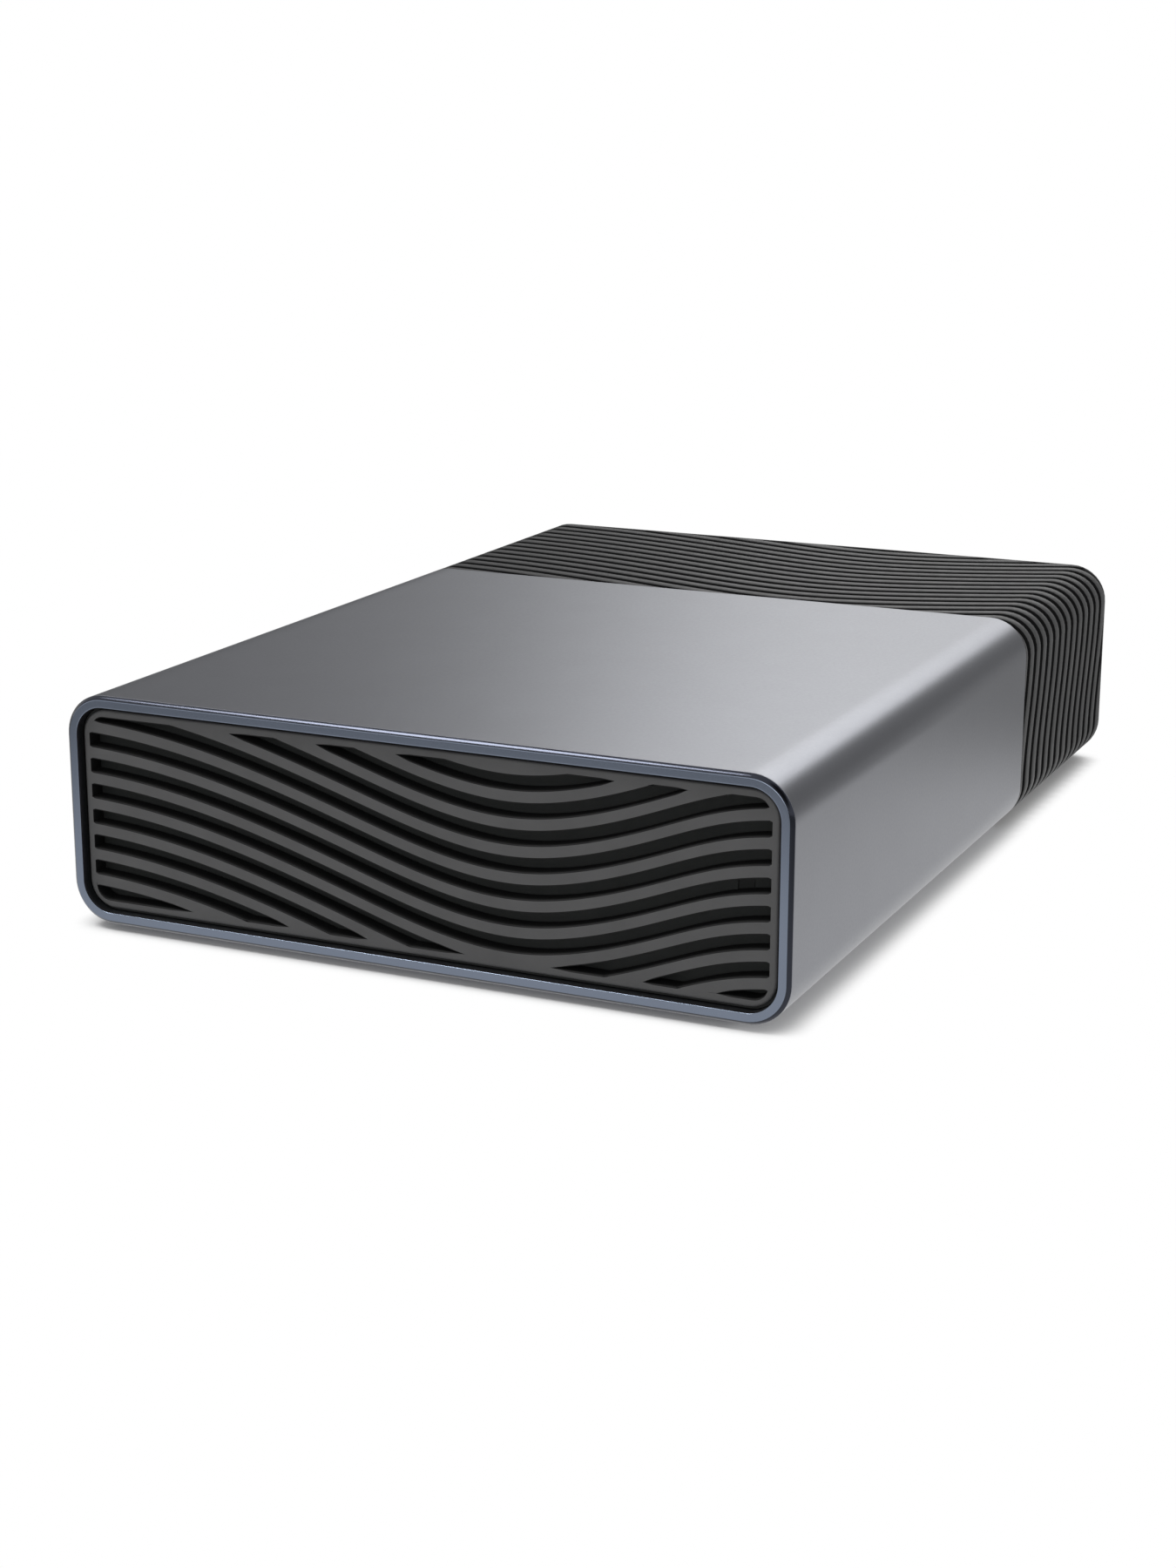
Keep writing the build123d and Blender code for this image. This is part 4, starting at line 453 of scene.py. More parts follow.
def slope_normals(x, z, sign):
    """Unit normals of the curve z(x), upwards for sign 1 and downwards for sign -1."""
    slope = np.gradient(z, x)
    normal = np.stack([-slope, np.ones_like(slope)], -1) * sign
    return normal / np.linalg.norm(normal, axis=-1, keepdims=True)


def crossings(x, curve, limit):
    """Places where a sampled curve meets a sampled limit, by linear interpolation."""
    gap = curve - limit
    i = np.flatnonzero(gap[:-1] * gap[1:] < 0)
    return x[i] + (x[i + 1] - x[i]) * gap[i] / (gap[i] - gap[i + 1])


def build_grille(case, grille, materials):
    """The grille plate: slots follow one wave, and the rounded window cuts them off."""
    half, low, high = GRILLE_HIGH[0], GRILLE_LOW[2], GRILLE_HIGH[2]
    window_half = half - grille.border
    window_low, window_high = low + grille.end, high - grille.end
    levels = SLEEVE_LOW[2] + grille.first + case.pitch * np.arange(-SLOTS_BELOW, SLOTS_ABOVE + 1)
    case_half = SLEEVE_HIGH[0]

    def window(x):
        """Lower and upper edge of the slotted window in each column."""
        side = np.clip(np.abs(x) - (window_half - grille.window), 0, grille.window)
        rise = grille.window - np.sqrt(grille.window ** 2 - side ** 2)
        return window_low + rise, window_high - rise

    def slot_edges(x):
        """Lower and upper edges of all slots in each column, before the window cuts them."""
        middle = levels[:, None] - wave(x, case_half, GRILLE_WAVE, case.drop, 0)
        return middle - grille.slot / 2, middle + grille.slot / 2

    fine = np.linspace(-window_half, window_half, FINE_STEPS)
    window_edges = window(fine)
    meets = [crossings(fine, edge, limit)
             for edges in slot_edges(fine) for edge in edges for limit in window_edges]
    turn = np.linspace(0, pi / 2, GRILLE_CORNER)
    corners = window_half - grille.window + grille.window * np.sin(turn)
    outer = half - grille.corner + (grille.corner - grille.edge) * np.sin(turn)
    even = np.linspace(-window_half, window_half, grille.columns)
    inner = np.concatenate([even, corners, -corners, *meets])
    inner = distinct(inner[np.abs(inner) <= window_half], GRILLE_NEAREST)
    inner[-1] = window_half
    margin = outer[outer > window_half + GRILLE_NEAREST]
    x = np.concatenate([-margin[::-1], inner, margin])

    inside = np.clip(x, -window_half, window_half)
    bottom, top = window(inside)
    lows, highs = slot_edges(inside)
    low_normals = np.array([slope_normals(x, z, -1) for z in lows])
    high_normals = np.array([slope_normals(x, z, 1) for z in highs])
    lows, highs = np.clip(lows, bottom, top), np.clip(highs, bottom, top)
    gaps = highs - lows
    in_window = np.abs(x) <= window_half + TOUCH
    both = in_window[1:] & in_window[:-1]
    holes = both & ((gaps[:, 1:] > TOUCH) | (gaps[:, :-1] > TOUCH))
    near_end = np.clip((window_half - np.abs(x)) / (2 * grille.lip), 0, 1)
    lips = np.minimum(grille.lip, gaps / 3) * near_end
    low_normals[lows <= bottom + TOUCH] = (0, -1)
    high_normals[highs >= top - TOUCH] = (0, 1)

    shell = Shell()
    box = (half, low, high, grille.corner, grille.edge, GRILLE_LOW[1], GRILLE_HIGH[1], 0.0)
    edges = (low_normals, high_normals)
    # Slot walls get the second material, near-black: painted shade inside the slots
    loop = plate(shell, x, lows, highs, lips, holes, edges, box, RIB_RUNGS, painted_shade_slot=1)
    core, normals = loop_frame(loop, half, low, high, grille.corner)
    rim = arc(GRILLE_LOW[1] + grille.edge, grille.edge, grille.edge, 180, 270, 5)
    rim.append((GRILLE_HIGH[1], 0.0))
    shell.add(swept(core, normals, grille.corner, *np.transpose(rim)), wrap_rows=True)
    shell.piece("wave_grille", materials, "case", "grille_plastic", "front_grille")


def capsule(x, middle, width, height):
    """Lower and upper edge of an upright or lying slot with round ends, centred on (0, middle)."""
    radius = min(width, height) / 2
    side = np.clip(np.abs(x) - (width / 2 - radius), 0, radius)
    rise = (height / 2 - radius) + np.sqrt(radius ** 2 - side ** 2)
    return middle - rise, middle + rise


def build_cap(case, cap, materials):
    """The rear cap: ribs that follow one wave over the top, fall by one pitch down each side
    and run back along the bottom, with a plain rear wall pierced for the connectors."""
    half, low, high = SLEEVE_HIGH[0], SLEEVE_LOW[2], SLEEVE_HIGH[2]
    joint, rear = SLEEVE_HIGH[1], CAP_HIGH[1]
    rim = rear - cap.rim
    middle = (low + high) / 2
    jack_z = JACK_HIGH[2] - JACK_DROP
    usb_x, usb_z = (USB_LOW[0] + USB_HIGH[0]) / 2, (USB_LOW[2] + USB_HIGH[2]) / 2
    jack_x = (JACK_LOW[0] + JACK_HIGH[0]) / 2
    vent_places = cap.vent_x + cap.vent_pitch * (np.arange(cap.vents) - (cap.vents - 1) / 2)
    usb_size, jack_size = USB_HIGH - USB_LOW + 2 * cap.port_fit, JACK_BARREL + 2 * cap.port_fit
    openings = [(usb_x, usb_z, usb_size[0], usb_size[2]), (jack_x, jack_z, jack_size, jack_size),
                (cap.lock_x, middle, cap.lock_width, cap.lock_height)]
    openings += [(place, jack_z, cap.vent_width, cap.vent_height) for place in vent_places]

    turn = np.linspace(0, pi / 2, CAP_CORNER)
    corners = half - case.corner + (case.corner - cap.fillet) * np.sin(turn)
    columns = [corners, -corners, np.linspace(-half + case.corner, half - case.corner, CAP_COLUMNS)]
    for x0, _, width, height in openings:
        columns[2] = columns[2][np.abs(columns[2] - x0) > width / 2 + 2 * cap.lip]
        radius = min(width, height) / 2
        bend = (width / 2 - radius) + radius * np.sin(np.linspace(0, pi / 2, ROUND_END))
        columns += [x0 + bend, x0 - bend]
    x = distinct(np.concatenate(columns), CAP_NEAREST)

    lows = np.full((1, len(x)), middle)
    highs = lows.copy()
    low_normals = np.tile([0.0, -1.0], (1, len(x), 1))
    high_normals = -low_normals
    holes = np.zeros((1, len(x) - 1), bool)
    lips = np.zeros((1, len(x)))
    for x0, z0, width, height in openings:
        inside = np.abs(x - x0) <= width / 2 + SLIVER
        down, up = capsule(x[inside] - x0, z0, width, height)
        lows[0, inside], highs[0, inside] = down, up
        radius = min(width, height) / 2
        centre = np.clip(x[inside] - x0, -(width / 2 - radius), width / 2 - radius)
        side = (x[inside] - x0 - centre) / radius
        upright = np.sqrt(np.clip(1 - side ** 2, 0, 1))
        low_normals[0, inside] = np.stack([side, -upright], -1)
        high_normals[0, inside] = np.stack([side, upright], -1)
        lips[0, inside] = cap.lip
        holes[0] |= inside[1:] & inside[:-1]

    shell = Shell()
    box = (half, low, high, case.corner, cap.fillet, rear, rear - cap.rear_wall, cap.wall)
    loop = plate(shell, x, lows, highs, lips, holes, (low_normals, high_normals), box, WALL_RUNGS)
    core, normals = loop_frame(loop, half, low, high, case.corner)
    outer = core + case.corner * normals

    # Where a groove lies round the section, measured from its left crest on the top
    top_shift = -wave(outer[:, 0], half, CAP_WAVE, case.drop, -CAP_WAVE_RISE)
    fall = np.clip((high - case.corner - outer[:, 1]) / (high - low - 2 * case.corner), 0, 1)
    shift = top_shift - case.pitch * (3 * fall ** 2 - 2 * fall ** 3)
    steps = np.concatenate([np.linspace(-cap.reach, cap.reach, GROOVE_STEPS), [case.pitch / 2]])
    first = joint + cap.start
    spans = np.arange(-2, int((rear - joint + case.drop + case.pitch) / case.pitch) + 2)
    levels = first + (spans[:, None] * case.pitch + steps).ravel()
    y = np.clip(levels[None, :] + shift[:, None], joint, rim)
    offset = (y - shift[:, None] - first) / case.pitch + 0.5
    distance = np.abs(offset - np.floor(offset) - 0.5) * case.pitch
    inset = cap.depth * (0.5 + 0.5 * np.cos(pi * np.clip(distance / cap.reach, 0, 1)))
    under = (normals[:, 1] < -0.99)[:, None]
    foot_x, foot_y = FEET_HIGH[:2] - FOOT_RADIUS
    for place in (-foot_x, foot_x):
        away = np.hypot(outer[:, :1] - place, y - foot_y) - cap.land
        inset = np.where(under, inset * np.clip(away / LAND_EDGE, 0, 1), inset)
    # Faces deep in a groove take the second material, near-black: painted shade in the grooves
    mean = (inset[:, 1:] + inset[:, :-1]) / 2
    painted_groove_shade = ((mean + np.roll(mean, -1, 0)) / 2 > DEEP_SHARE * cap.depth).astype(int)
    shell.add(swept(core, normals, case.corner, y, inset), wrap_rows=True, slot=painted_groove_shade)

    # Flat rings at both ends of the ribs, then the inside and the rear edge
    for level, ribs, plain_inset in ((joint, inset[:, 0], cap.wall), (rim, inset[:, -1], 0.0)):
        ring = np.stack([ribs, np.full(len(core), plain_inset)], -1)
        shell.add(swept(core, normals, case.corner, level, ring), wrap_rows=True)
    bore = [(joint, cap.wall), (rear - cap.rear_wall, cap.wall)]
    rear_edge = [(rim, 0.0)] + arc(rear - cap.fillet, cap.fillet, cap.fillet, 270, 360, 6)
    for profile in (bore, rear_edge):
        shell.add(swept(core, normals, case.corner, *np.transpose(profile)), wrap_rows=True)

    # Tongue inside the sleeve, over the top and half way down the sides
    tongue_inset = case.wall + cap.fit
    front, inner = CAP_LOW[1], tongue_inset + cap.spigot
    upper = outer[:, 1] > middle
    order = np.argsort(np.arctan2(outer[upper, 1] - middle, outer[upper, 0]))
    tongue = [(front, tongue_inset), (joint, tongue_inset), (joint, inner), (front, inner)]
    strip = swept(core[upper][order], normals[upper][order], case.corner, *np.transpose(tongue))
    shell.add(strip, wrap_columns=True)
    for end in (strip[:1], strip[-1:]):
        shell.add(np.stack([end[0, :2], end[0, 3:1:-1]]))
    shell.piece("ribbed_cap", materials, "case", "cap_plastic", "rear_cap")


def build_sleeve(case, materials):
    """The sleeve: its wall profile carried once round the section of the case."""
    half, low, high = SLEEVE_HIGH[0], SLEEVE_LOW[2], SLEEVE_HIGH[2]
    core, normals = outline(half, low, high, case.corner, np.linspace(-half, half, SLEEVE_ACROSS),
                            np.linspace(low, high, SLEEVE_UP), SLEEVE_CORNER)
    profile, outside, cut = sleeve_profile(case)
    slots = np.zeros(len(profile), int)
    slots[outside + 1:outside + cut] = 1
    slots[outside + 1] = 2
    shell = Shell()
    wall = swept(core, normals, case.corner, *np.transpose(profile))
    shell.add(wall, wrap_rows=True, wrap_columns=True, slot=slots)
    shell.piece("anodised_sleeve", materials, "case", "anodised_sleeve", "sleeve")


def node(tree, kind, **values):
    """A node with some of its inputs set by name or number, or joined to a socket."""
    made = tree.nodes.new(kind)
    for name, value in values.items():
        if name.startswith("set_"):
            setattr(made, name[4:], value)
            continue
        socket = made.inputs[int(name[3:]) if name.startswith("in_") else name.replace("_", " ")]
        if isinstance(value, bpy.types.NodeSocket):
            tree.links.new(value, socket)
        else:
            socket.default_value = value
    return made


def remap(tree, value, low=0.0, high=1.0, start=0.0, end=1.0, curve="LINEAR"):
    """A value carried from start..end to low..high, each a number or a socket."""
    made = node(tree, "ShaderNodeMapRange", set_interpolation_type=curve, Value=value,
                From_Min=start, From_Max=end, To_Min=low, To_Max=high)
    return made.outputs["Result"]


class Finish:
    """A node material that is built up from a Principled shader."""

    def __init__(self, name, base, roughness, metallic=0.0, **sockets):
        self.base = base
        self.material = bpy.data.materials.new(name)
        self.material.use_nodes = True
        self.tree = self.material.node_tree
        self.shader = self.tree.nodes["Principled BSDF"]
        self.shader.inputs["Base Color"].default_value = (*base, 1)
        self.shader.inputs["Roughness"].default_value = roughness
        self.shader.inputs["Metallic"].default_value = metallic
        for socket, value in sockets.items():
            self.shader.inputs[socket.replace("_", " ")].default_value = value
        self.place = self.add("ShaderNodeTexCoord").outputs["Object"]
        self.normal = None

    def add(self, kind, **values):
        """A node of this material."""
        return node(self.tree, kind, **values)

    def noise(self, size, detail=2.0, rough=0.5, stretch=None):
        """Noise whose features are size millimetres across, stretched by axis if asked."""
        place = self.place
        if stretch:
            place = self.add("ShaderNodeMapping", Vector=place, Scale=stretch).outputs["Vector"]
        marks = self.add("ShaderNodeTexNoise", Vector=place, Scale=1 / (size * MM), Detail=detail,
                         Roughness=rough)
        return marks.outputs["Fac"]

    def bands(self, scale, distortion=0.0, direction="X"):
        """Even bands across one axis, with a number of bands to a length and some waviness."""
        marks = self.add("ShaderNodeTexWave", set_bands_direction=direction, Vector=self.place,
                         Scale=scale, Distortion=distortion)
        return marks.outputs["Fac"]

    def spread(self, noise, low=0.0, high=1.0):
        """The middle of a noise value's range, stretched to low..high."""
        return remap(self.tree, noise, low, high, NOISE_LOW, NOISE_HIGH)

    def vary_colour(self, value, dark, light):
        """The base colour made darker and lighter by two factors, by a value from 0 to 1."""
        mix = self.add("ShaderNodeMix", set_data_type="RGBA", Factor=value)
        colours = [socket for socket in mix.inputs if socket.type == "RGBA"]
        for socket, factor in zip(colours, (dark, light)):
            socket.default_value = (*(min(1.0, channel * factor) for channel in self.base), 1)
        output = next(socket for socket in mix.outputs if socket.type == "RGBA")
        self.tree.links.new(output, self.shader.inputs["Base Color"])
        return self

    def vary_roughness(self, value, low, high):
        """Roughness from low to high, by a noise value."""
        self.tree.links.new(self.spread(value, low, high), self.shader.inputs["Roughness"])
        return self

    def bump(self, value, height):
        """Relief of a height in millimetres, over any relief that is there already."""
        values = {"Height": value, "Distance": height * MM, "Strength": 1.0}
        if self.normal:
            values["Normal"] = self.normal
        self.normal = self.add("ShaderNodeBump", **values).outputs["Normal"]
        self.tree.links.new(self.normal, self.shader.inputs["Normal"])
        return self


def anodised(name, base, roughness, grain):
    """Anodised aluminium: fine blasted grain, faint cloudiness in tone and gloss."""
    finish = Finish(name, base, roughness, metallic=1.0)
    finish.vary_colour(finish.spread(finish.noise(9.0)), 0.985, 1.015)
    finish.vary_roughness(finish.noise(0.5), roughness - 0.02, roughness + 0.02)
    return finish.bump(finish.noise(0.12, detail=1.0), grain).material


def moulding(name, base, roughness, grain=0.012, size=0.22, gloss=0.25):
    """Moulded plastic: spark-eroded grain, slight flow variation and softer gloss in patches."""
    finish = Finish(name, base, roughness, Specular_IOR_Level=gloss)
    finish.vary_colour(finish.spread(finish.noise(6.0, detail=3.0)), 0.94, 1.06)
    finish.vary_roughness(finish.noise(2.0), roughness - 0.04, roughness + 0.04)
    return finish.bump(finish.noise(size, detail=2.0), grain).material


def metal(name, base, roughness, stretch=(1, 1, 1), size=0.3, grain=0.004):
    """Bare or plated metal: tool marks stretched along one axis."""
    finish = Finish(name, base, roughness, metallic=1.0)
    marks = finish.noise(size, detail=3.0, stretch=stretch)
    finish.vary_colour(finish.spread(marks), 0.9, 1.05)
    finish.vary_roughness(marks, roughness - 0.05, roughness + 0.08)
    return finish.bump(marks, grain).material


def cast_metal(name, base):
    """Die-cast metal with a fine sprayed coat."""
    finish = Finish(name, base, 0.45, metallic=0.85)
    finish.vary_colour(finish.spread(finish.noise(3.0)), 0.88, 1.06)
    finish.vary_roughness(finish.noise(0.8), 0.4, 0.55)
    return finish.bump(finish.noise(0.35, detail=4.0), 0.03).material


def board(name, base):
    """Glass-fibre board under solder mask: woven relief and faint tracks."""
    finish = Finish(name, base, 0.32, Coat_Weight=0.4, Coat_Roughness=0.15)
    tracks = finish.add("ShaderNodeTexBrick", Vector=finish.place, Scale=140.0, Mortar_Size=0.08,
                        Brick_Width=1.4)
    finish.vary_colour(tracks.outputs["Fac"], 1, 1.7)
    return finish.bump(finish.bands(500.0, 1.0), 0.01).bump(tracks.outputs["Fac"], 0.03).material


def winding(name, base):
    """Enamelled wire laid turn beside turn, with the gaps between turns darkened in colour: painted
    shade.
    """
    finish = Finish(name, base, 0.28, metallic=1.0, Coat_Weight=0.6)
    turns = finish.bands(700.0, 0.4, "Z")
    # Colour darker in the gaps between turns: painted shade in the creases
    finish.vary_colour(turns, 0.45, 1)
    return finish.bump(turns, 0.08).material


def film(name, base):
    """Amber polyimide film with printed conductors along it."""
    finish = Finish(name, base, 0.3, Coat_Weight=0.5)
    lines = finish.bands(260.0, 0.0, "Z")
    finish.vary_colour(lines, 0.5, 1.15)
    return finish.bump(lines, 0.015).material


def soft(name, base, size, grain):
    """Rubber, foam or felt: rough, with an open surface of cells or fibres."""
    finish = Finish(name, base, 0.85, Sheen_Weight=0.15, Sheen_Roughness=0.5)
    cells = finish.noise(size, detail=5.0, rough=0.65)
    finish.vary_colour(finish.spread(cells), 0.75, 1.2)
    return finish.bump(cells, grain).material


def smoked(name, base):
    """Smoked light guide: dark, hardly clear, frosted all over, with slight waviness."""
    finish = Finish(name, base, 0.5, Transmission_Weight=0.1, IOR=1.49, Specular_IOR_Level=0.2)
    finish.vary_roughness(finish.noise(1.5), 0.5, 0.6)
    return finish.bump(finish.noise(2.5), 0.02).material


# The finish of each material slot: a builder and its values
CAD_FINISHES = {
    "frame_plastic": (moulding, "liner_plastic", (0.014, 0.0155, 0.015), 0.6),
    "chassis_plastic": (moulding, "tray_plastic", (0.022, 0.022, 0.023), 0.55),
    "foot_rubber": (soft, "foot_rubber", (0.018, 0.018, 0.018), 0.4, 0.03),
    "grommet_rubber": (soft, "grommet_rubber", (0.03, 0.03, 0.033), 0.5, 0.03),
    "screw_steel": (metal, "screw_steel", (0.55, 0.55, 0.53), 0.3),
    "board_green": (board, "solder_mask", (0.006, 0.06, 0.025)),
    "chip_black": (moulding, "chip_epoxy", (0.014, 0.014, 0.015), 0.5, 0.02, 0.15),
    "port_black": (moulding, "port_nylon", (0.012, 0.012, 0.012), 0.45),
    "port_steel": (metal, "port_steel", (0.6, 0.59, 0.57), 0.25, (1, 0.05, 1)),
    "lamp_clear": (smoked, "light_guide", (0.011, 0.0121, 0.0117)),
    "lamp_white": (moulding, "lamp_white", (0.8, 0.79, 0.72), 0.35),
    "cast_aluminium": (cast_metal, "cast_aluminium", (0.42, 0.42, 0.43)),
    "cover_steel": (metal, "cover_steel", (0.6, 0.6, 0.61), 0.32, (1, 0.04, 1), 0.5),
    "gasket_foam": (soft, "gasket_foam", (0.02, 0.02, 0.02), 0.3, 0.05),
    "disk_mirror": (anodised, "disk_mirror", (0.82, 0.81, 0.8), 0.07, 0.0001),
    "machined_aluminium": (metal, "machined_aluminium", (0.68, 0.68, 0.69), 0.28, (1, 1, 8)),
    "copper_winding": (winding, "copper_winding", (0.8, 0.36, 0.16)),
    "bearing_bronze": (metal, "bearing_bronze", (0.62, 0.42, 0.2), 0.4, (1, 1, 1), 0.15, 0.01),
    "magnet_nickel": (metal, "magnet_nickel", (0.66, 0.63, 0.57), 0.16, (1, 1, 1), 2.0, 0.002),
    "lamination_steel": (metal, "lamination_steel", (0.3, 0.3, 0.31), 0.38, (0.2, 0.2, 10), 0.5, 0.02),
    "ramp_plastic": (moulding, "ramp_plastic", (0.68, 0.65, 0.56), 0.4),
    "flex_polyimide": (film, "flex_polyimide", (0.5, 0.19, 0.03)),
    "filter_felt": (soft, "filter_felt", (0.75, 0.75, 0.72), 0.25, 0.08),
}


def dress(nodes):
    """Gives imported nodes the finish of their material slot."""
    slots = {part["node"]: part["material_slot"] for part in frame["record"]["subparts"]}
    for name in nodes:
        slot = slots[name]
        material = bpy.data.materials.get("cad_" + slot)
        if not material:
            build, *values = CAD_FINISHES[slot]
            material = build(*values)
            material.name = "cad_" + slot
        mesh = frame["nodes"][name].data
        mesh.materials.clear()
        mesh.materials.append(material)


CASE_NODES = ("front_frame", "chassis", "rubber_feet", "case_screws", "drive_grommets",
              "shoulder_screws")
BOARD_NODES = ("bridge_board", "board_screws", "usb_shell", "usb_tongue", "dc_jack", "dc_jack_pin",
               "sata_plug", "sata_socket", "bridge_chips", "power_inductors", "capacitors",
               "activity_led", "light_pipe")
REPLACED = ("sleeve", "front_grille", "rear_cap")


class DRIVE_OT_sleeve(bpy.types.Operator):
    """Build the anodised sleeve with its cut front edge"""
    bl_idname = "drive.sleeve"
    bl_label = "Sleeve"

    def execute(self, context):
        case, finish = context.scene.drive_case, context.scene.drive_finish
        outer = anodised("satin_anodising", finish.sleeve, 0.34, 0.002)
        cut = anodised("cut_anodising", finish.cut, 0.24, 0.0006)
        # Dark chamfer colour: painted shade standing in for dark reflections
        chamfer = anodised("cut_chamfer", finish.chamfer, 0.16, 0.0004)
        build_sleeve(case, [outer, cut, chamfer])
        return {"FINISHED"}


class DRIVE_OT_grille(bpy.types.Operator):
    """Build the wavy front grille"""
    bl_idname = "drive.grille"
    bl_label = "Grille"

    def execute(self, context):
        scene = context.scene
        finish = scene.drive_finish
        face = moulding("grille_face", finish.grille, 0.5)
        # Near-black slot walls: painted shade inside the slots, not the plastic's own colour
        wall = moulding("grille_slot_wall", finish.groove, 0.7)
        build_grille(scene.drive_case, scene.drive_grille, [face, wall])
        return {"FINISHED"}


class DRIVE_OT_cap(bpy.types.Operator):
    """Build the ribbed rear cap"""
    bl_idname = "drive.cap"
    bl_label = "Rear cap"

    def execute(self, context):
        scene = context.scene
        finish = scene.drive_finish
        ribs = moulding("cap_ribs", finish.cap, 0.42, gloss=0.1)
        # Near-black grooves: painted shade in the recesses, not the plastic's own colour
        grooves = moulding("cap_grooves", finish.groove, 0.8, gloss=0.05)
        build_cap(scene.drive_case, scene.drive_cap, [ribs, grooves])
        return {"FINISHED"}


class DRIVE_OT_case_parts(bpy.types.Operator):
    """Give the liner, tray, feet and fixings their finishes"""
    bl_idname = "drive.case_parts"
    bl_label = "Case parts"

    def execute(self, context):
        dress(CASE_NODES)
        return {"FINISHED"}


class DRIVE_OT_board_parts(bpy.types.Operator):
    """Give the bridge board and its connectors their finishes"""
    bl_idname = "drive.board_parts"
    bl_label = "Board parts"

    def execute(self, context):
        dress(BOARD_NODES)
        return {"FINISHED"}


class DRIVE_OT_mechanism(bpy.types.Operator):
    """Give the drive mechanism its finishes"""
    bl_idname = "drive.mechanism"
    bl_label = "Mechanism"

    def execute(self, context):
        dress([name for name in frame["nodes"] if name not in CASE_NODES + BOARD_NODES + REPLACED])
        return {"FINISHED"}


def softbox(name, place, target, size, power):
    """A rectangular light at a place, facing a target, both in metres."""
    data = bpy.data.lights.new(name, "AREA")
    data.shape = "RECTANGLE"
    data.size, data.size_y = size
    data.energy = power
    lamp = bpy.data.objects.new(name, data)
    lamp.location = place
    lamp.rotation_euler = (Vector(target) - Vector(place)).to_track_quat("-Z", "Y").to_euler()
    lamp.visible_glossy = name not in UNMIRRORED
    bpy.context.scene.collection.objects.link(lamp)


def ray_kind(tree, *kinds):
    """One where a ray is of any of the kinds, else zero."""
    path = node(tree, "ShaderNodeLightPath")
    total = path.outputs[kinds[0]]
    for kind in kinds[1:]:
        larger = node(tree, "ShaderNodeMath", set_operation="MAXIMUM", in_0=total,
                      in_1=path.outputs[kind])
        total = larger.outputs[0]
    return total


def vector(tree, operation, first, second=(0, 0, 0), output="Vector"):
    """Result of an operation on one vector or two."""
    result = node(tree, "ShaderNodeVectorMath", set_operation=operation, in_0=first, in_1=second)
    return result.outputs[output]


def floor_material():
    """White paper. The camera sees it white, with a painted contact shadow where ambient occlusion finds
    the object close over it; a mirror sees a painted glow of the paper, which fades away from the
    object."""
    material = bpy.data.materials.new("studio_floor")
    material.use_nodes = True
    tree = material.node_tree
    tree.nodes.remove(tree.nodes["Principled BSDF"])
    seen = ray_kind(tree, "Is Camera Ray")
    mirrored = ray_kind(tree, "Is Glossy Ray", "Is Transmission Ray")

    # Distance from the footprint, from how far |x| and |y| pass its half sizes
    place = node(tree, "ShaderNodeTexCoord").outputs["Object"]
    folded = vector(tree, "ABSOLUTE", vector(tree, "ADD", place, GLOW_SHIFT))
    beyond = vector(tree, "SUBTRACT", folded, (SLEEVE_HIGH[0] * MM, cad_box[1][1], 0.0))
    stretched = vector(tree, "MULTIPLY", vector(tree, "MAXIMUM", beyond), GLOW_STRETCH)
    distance = vector(tree, "LENGTH", stretched, output="Value")
    # Painted pool of light: the glow that mirrors see fades with the distance from the footprint
    painted_glow_pool = remap(tree, distance, GLOW_NEAR, GLOW_FAR, 0.0, GLOW_REACH, "SMOOTHSTEP")

    # Painted contact shadow: ambient occlusion takes the white glow away where the object stands close
    # over the paper
    painted_contact_shadow_ao = node(tree, "ShaderNodeAmbientOcclusion", set_samples=16, Distance=CONTACT_REACH)
    lit = remap(tree, painted_contact_shadow_ao.outputs["AO"], 0.0, 1.0, CONTACT_DARK, CONTACT_LIT, "SMOOTHSTEP")

    # Darker paper for the camera than for light that bounces off it: painted shade in the contact shadow
    tone = remap(tree, seen, PAPER_LIT, PAPER_SEEN)
    paper = node(tree, "ShaderNodeBsdfDiffuse", Color=tone).outputs[0]
    glow = node(tree, "ShaderNodeEmission", Strength=remap(tree, seen, painted_glow_pool, 1.0)).outputs[0]
    share = remap(tree, seen, remap(tree, mirrored, 0.0, MIRRORED_GLOW), lit)
    both = node(tree, "ShaderNodeMixShader", in_0=share, in_1=paper, in_2=glow).outputs[0]
    tree.links.new(both, tree.nodes["Material Output"].inputs["Surface"])
    return material


def studio_world():
    """White surroundings for the camera. Mirrors see them too, with dark zones where the studio
    isn't lit; diffuse light comes at a lower level."""
    world = bpy.data.worlds.new("studio")
    bpy.context.scene.world = world
    world.use_nodes = True
    tree = world.node_tree
    place = node(tree, "ShaderNodeTexCoord").outputs["Generated"]
    towards = vector(tree, "NORMALIZE", vector(tree, "MULTIPLY", place, ZONE_PRESS))
    level = 1.0
    for turned, raised, full, none, dark in DARK_ZONES:
        aim = Euler((radians(raised), 0, -radians(turned))).to_matrix() @ Vector((0, 1, 0))
        near = vector(tree, "DOT_PRODUCT", towards, aim, output="Value")
        zone = remap(tree, near, 0.0, 1.0, cos(radians(none)), cos(radians(full)), "SMOOTHSTEP")
        level = remap(tree, zone, level, dark)
    mirrored = ray_kind(tree, "Is Glossy Ray", "Is Transmission Ray")
    seen = ray_kind(tree, "Is Camera Ray")
    strength = remap(tree, seen, remap(tree, mirrored, DIFFUSE_LEVEL, level), 1.0)
    background = tree.nodes["Background"]
    background.inputs["Color"].default_value = (1, 1, 1, 1)
    tree.links.new(strength, background.inputs["Strength"])


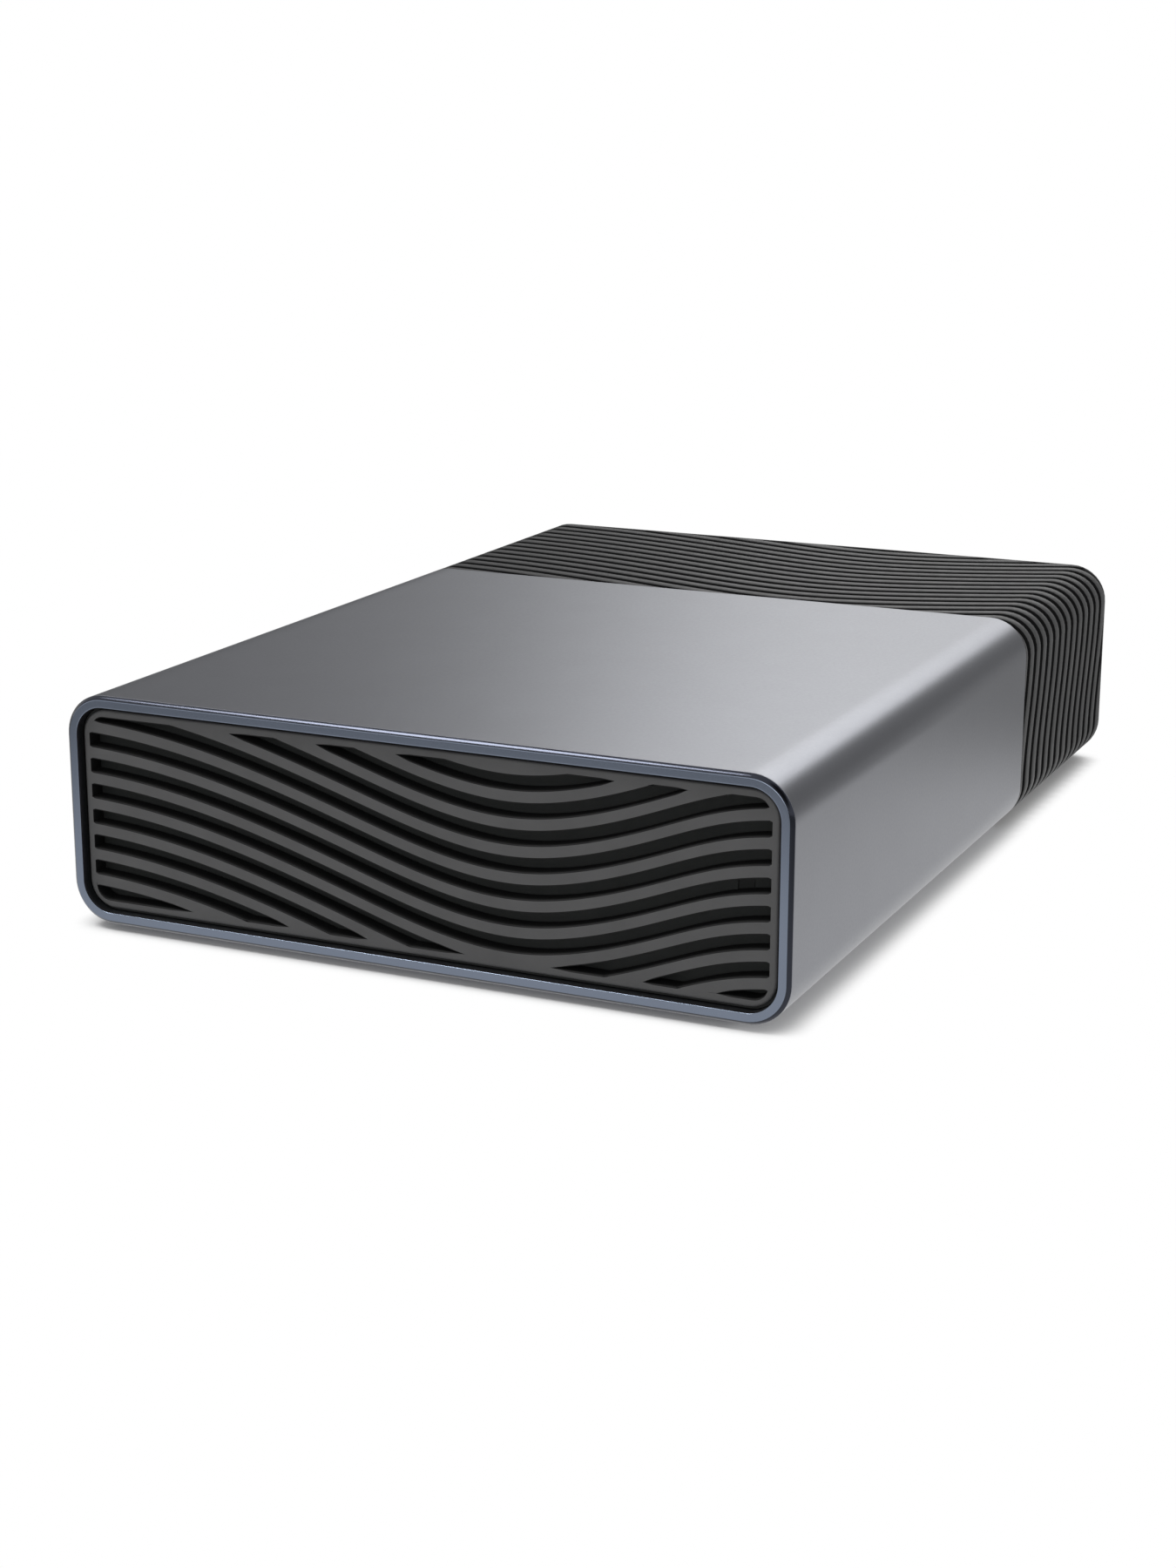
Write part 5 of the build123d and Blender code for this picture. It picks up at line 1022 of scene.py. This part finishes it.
class DRIVE_OT_stage(bpy.types.Operator):
    """Build the floor, the lights and the camera"""
    bl_idname = "drive.stage"
    bl_label = "Stage"

    def execute(self, context):
        stage = context.scene.drive_stage
        mesh = bpy.data.meshes.new("floor")
        corners = [(x * FLOOR_HALF, y * FLOOR_HALF, 0) for x, y in ((-1, -1), (1, -1), (1, 1), (-1, 1))]
        mesh.from_pydata(corners, [], [(0, 1, 2, 3)])
        mesh.materials.append(floor_material())
        floor = bpy.data.objects.new("floor", mesh)
        context.scene.collection.objects.link(floor)
        studio_world()
        for setting, name, place, target, size in SOFTBOXES:
            softbox(name, place, target, size, getattr(stage, setting))

        data = bpy.data.cameras.new("camera")
        data.lens = stage.lens
        data.sensor_width = 36.0
        data.clip_start = 0.01
        camera = bpy.data.objects.new("camera", data)
        flat = cos(stage.elevation)
        away = Vector((sin(stage.azimuth) * flat, -cos(stage.azimuth) * flat, sin(stage.elevation)))
        camera.location = Vector(stage.target) + away * stage.distance
        turn = (-away).to_track_quat("-Z", "Y") @ Euler((0, 0, stage.roll)).to_quaternion()
        camera.rotation_euler = turn.to_euler()
        context.scene.collection.objects.link(camera)
        context.scene.camera = camera
        context.scene.view_settings.view_transform = "Standard"
        return {"FINISHED"}


SETTINGS = {
    "drive_case": DriveCaseSettings,
    "drive_grille": DriveGrilleSettings,
    "drive_cap": DriveCapSettings,
    "drive_finish": DriveFinishSettings,
    "drive_stage": DriveStageSettings,
}
OPERATORS = (DRIVE_OT_sleeve, DRIVE_OT_grille, DRIVE_OT_cap, DRIVE_OT_case_parts,
             DRIVE_OT_board_parts, DRIVE_OT_mechanism, DRIVE_OT_stage)


class DRIVE_PT_looks(bpy.types.Panel):
    """Lists the settings and builders of the drive"""
    bl_idname = "DRIVE_PT_looks"
    bl_label = "Desktop drive"
    bl_space_type = "VIEW_3D"
    bl_region_type = "UI"
    bl_category = "Drive"

    def draw(self, context):
        for operator in OPERATORS:
            self.layout.operator(operator.bl_idname)
        for name in SETTINGS:
            group = getattr(context.scene, name)
            box = self.layout.box()
            for field in group.__annotations__:
                box.prop(group, field)


CLASSES = (*SETTINGS.values(), *OPERATORS, DRIVE_PT_looks)


def register():
    for kind in CLASSES:
        bpy.utils.register_class(kind)
    for name, group in SETTINGS.items():
        setattr(bpy.types.Scene, name, PointerProperty(type=group))


def unregister():
    for name in SETTINGS:
        delattr(bpy.types.Scene, name)
    for kind in reversed(CLASSES):
        bpy.utils.unregister_class(kind)


def main():
    register()
    bpy.ops.drive.sleeve()
    bpy.ops.drive.grille()
    bpy.ops.drive.cap()
    bpy.ops.drive.case_parts()
    bpy.ops.drive.board_parts()
    bpy.ops.drive.mechanism()
    bpy.ops.drive.stage()


if __name__ == "__main__":
    main()
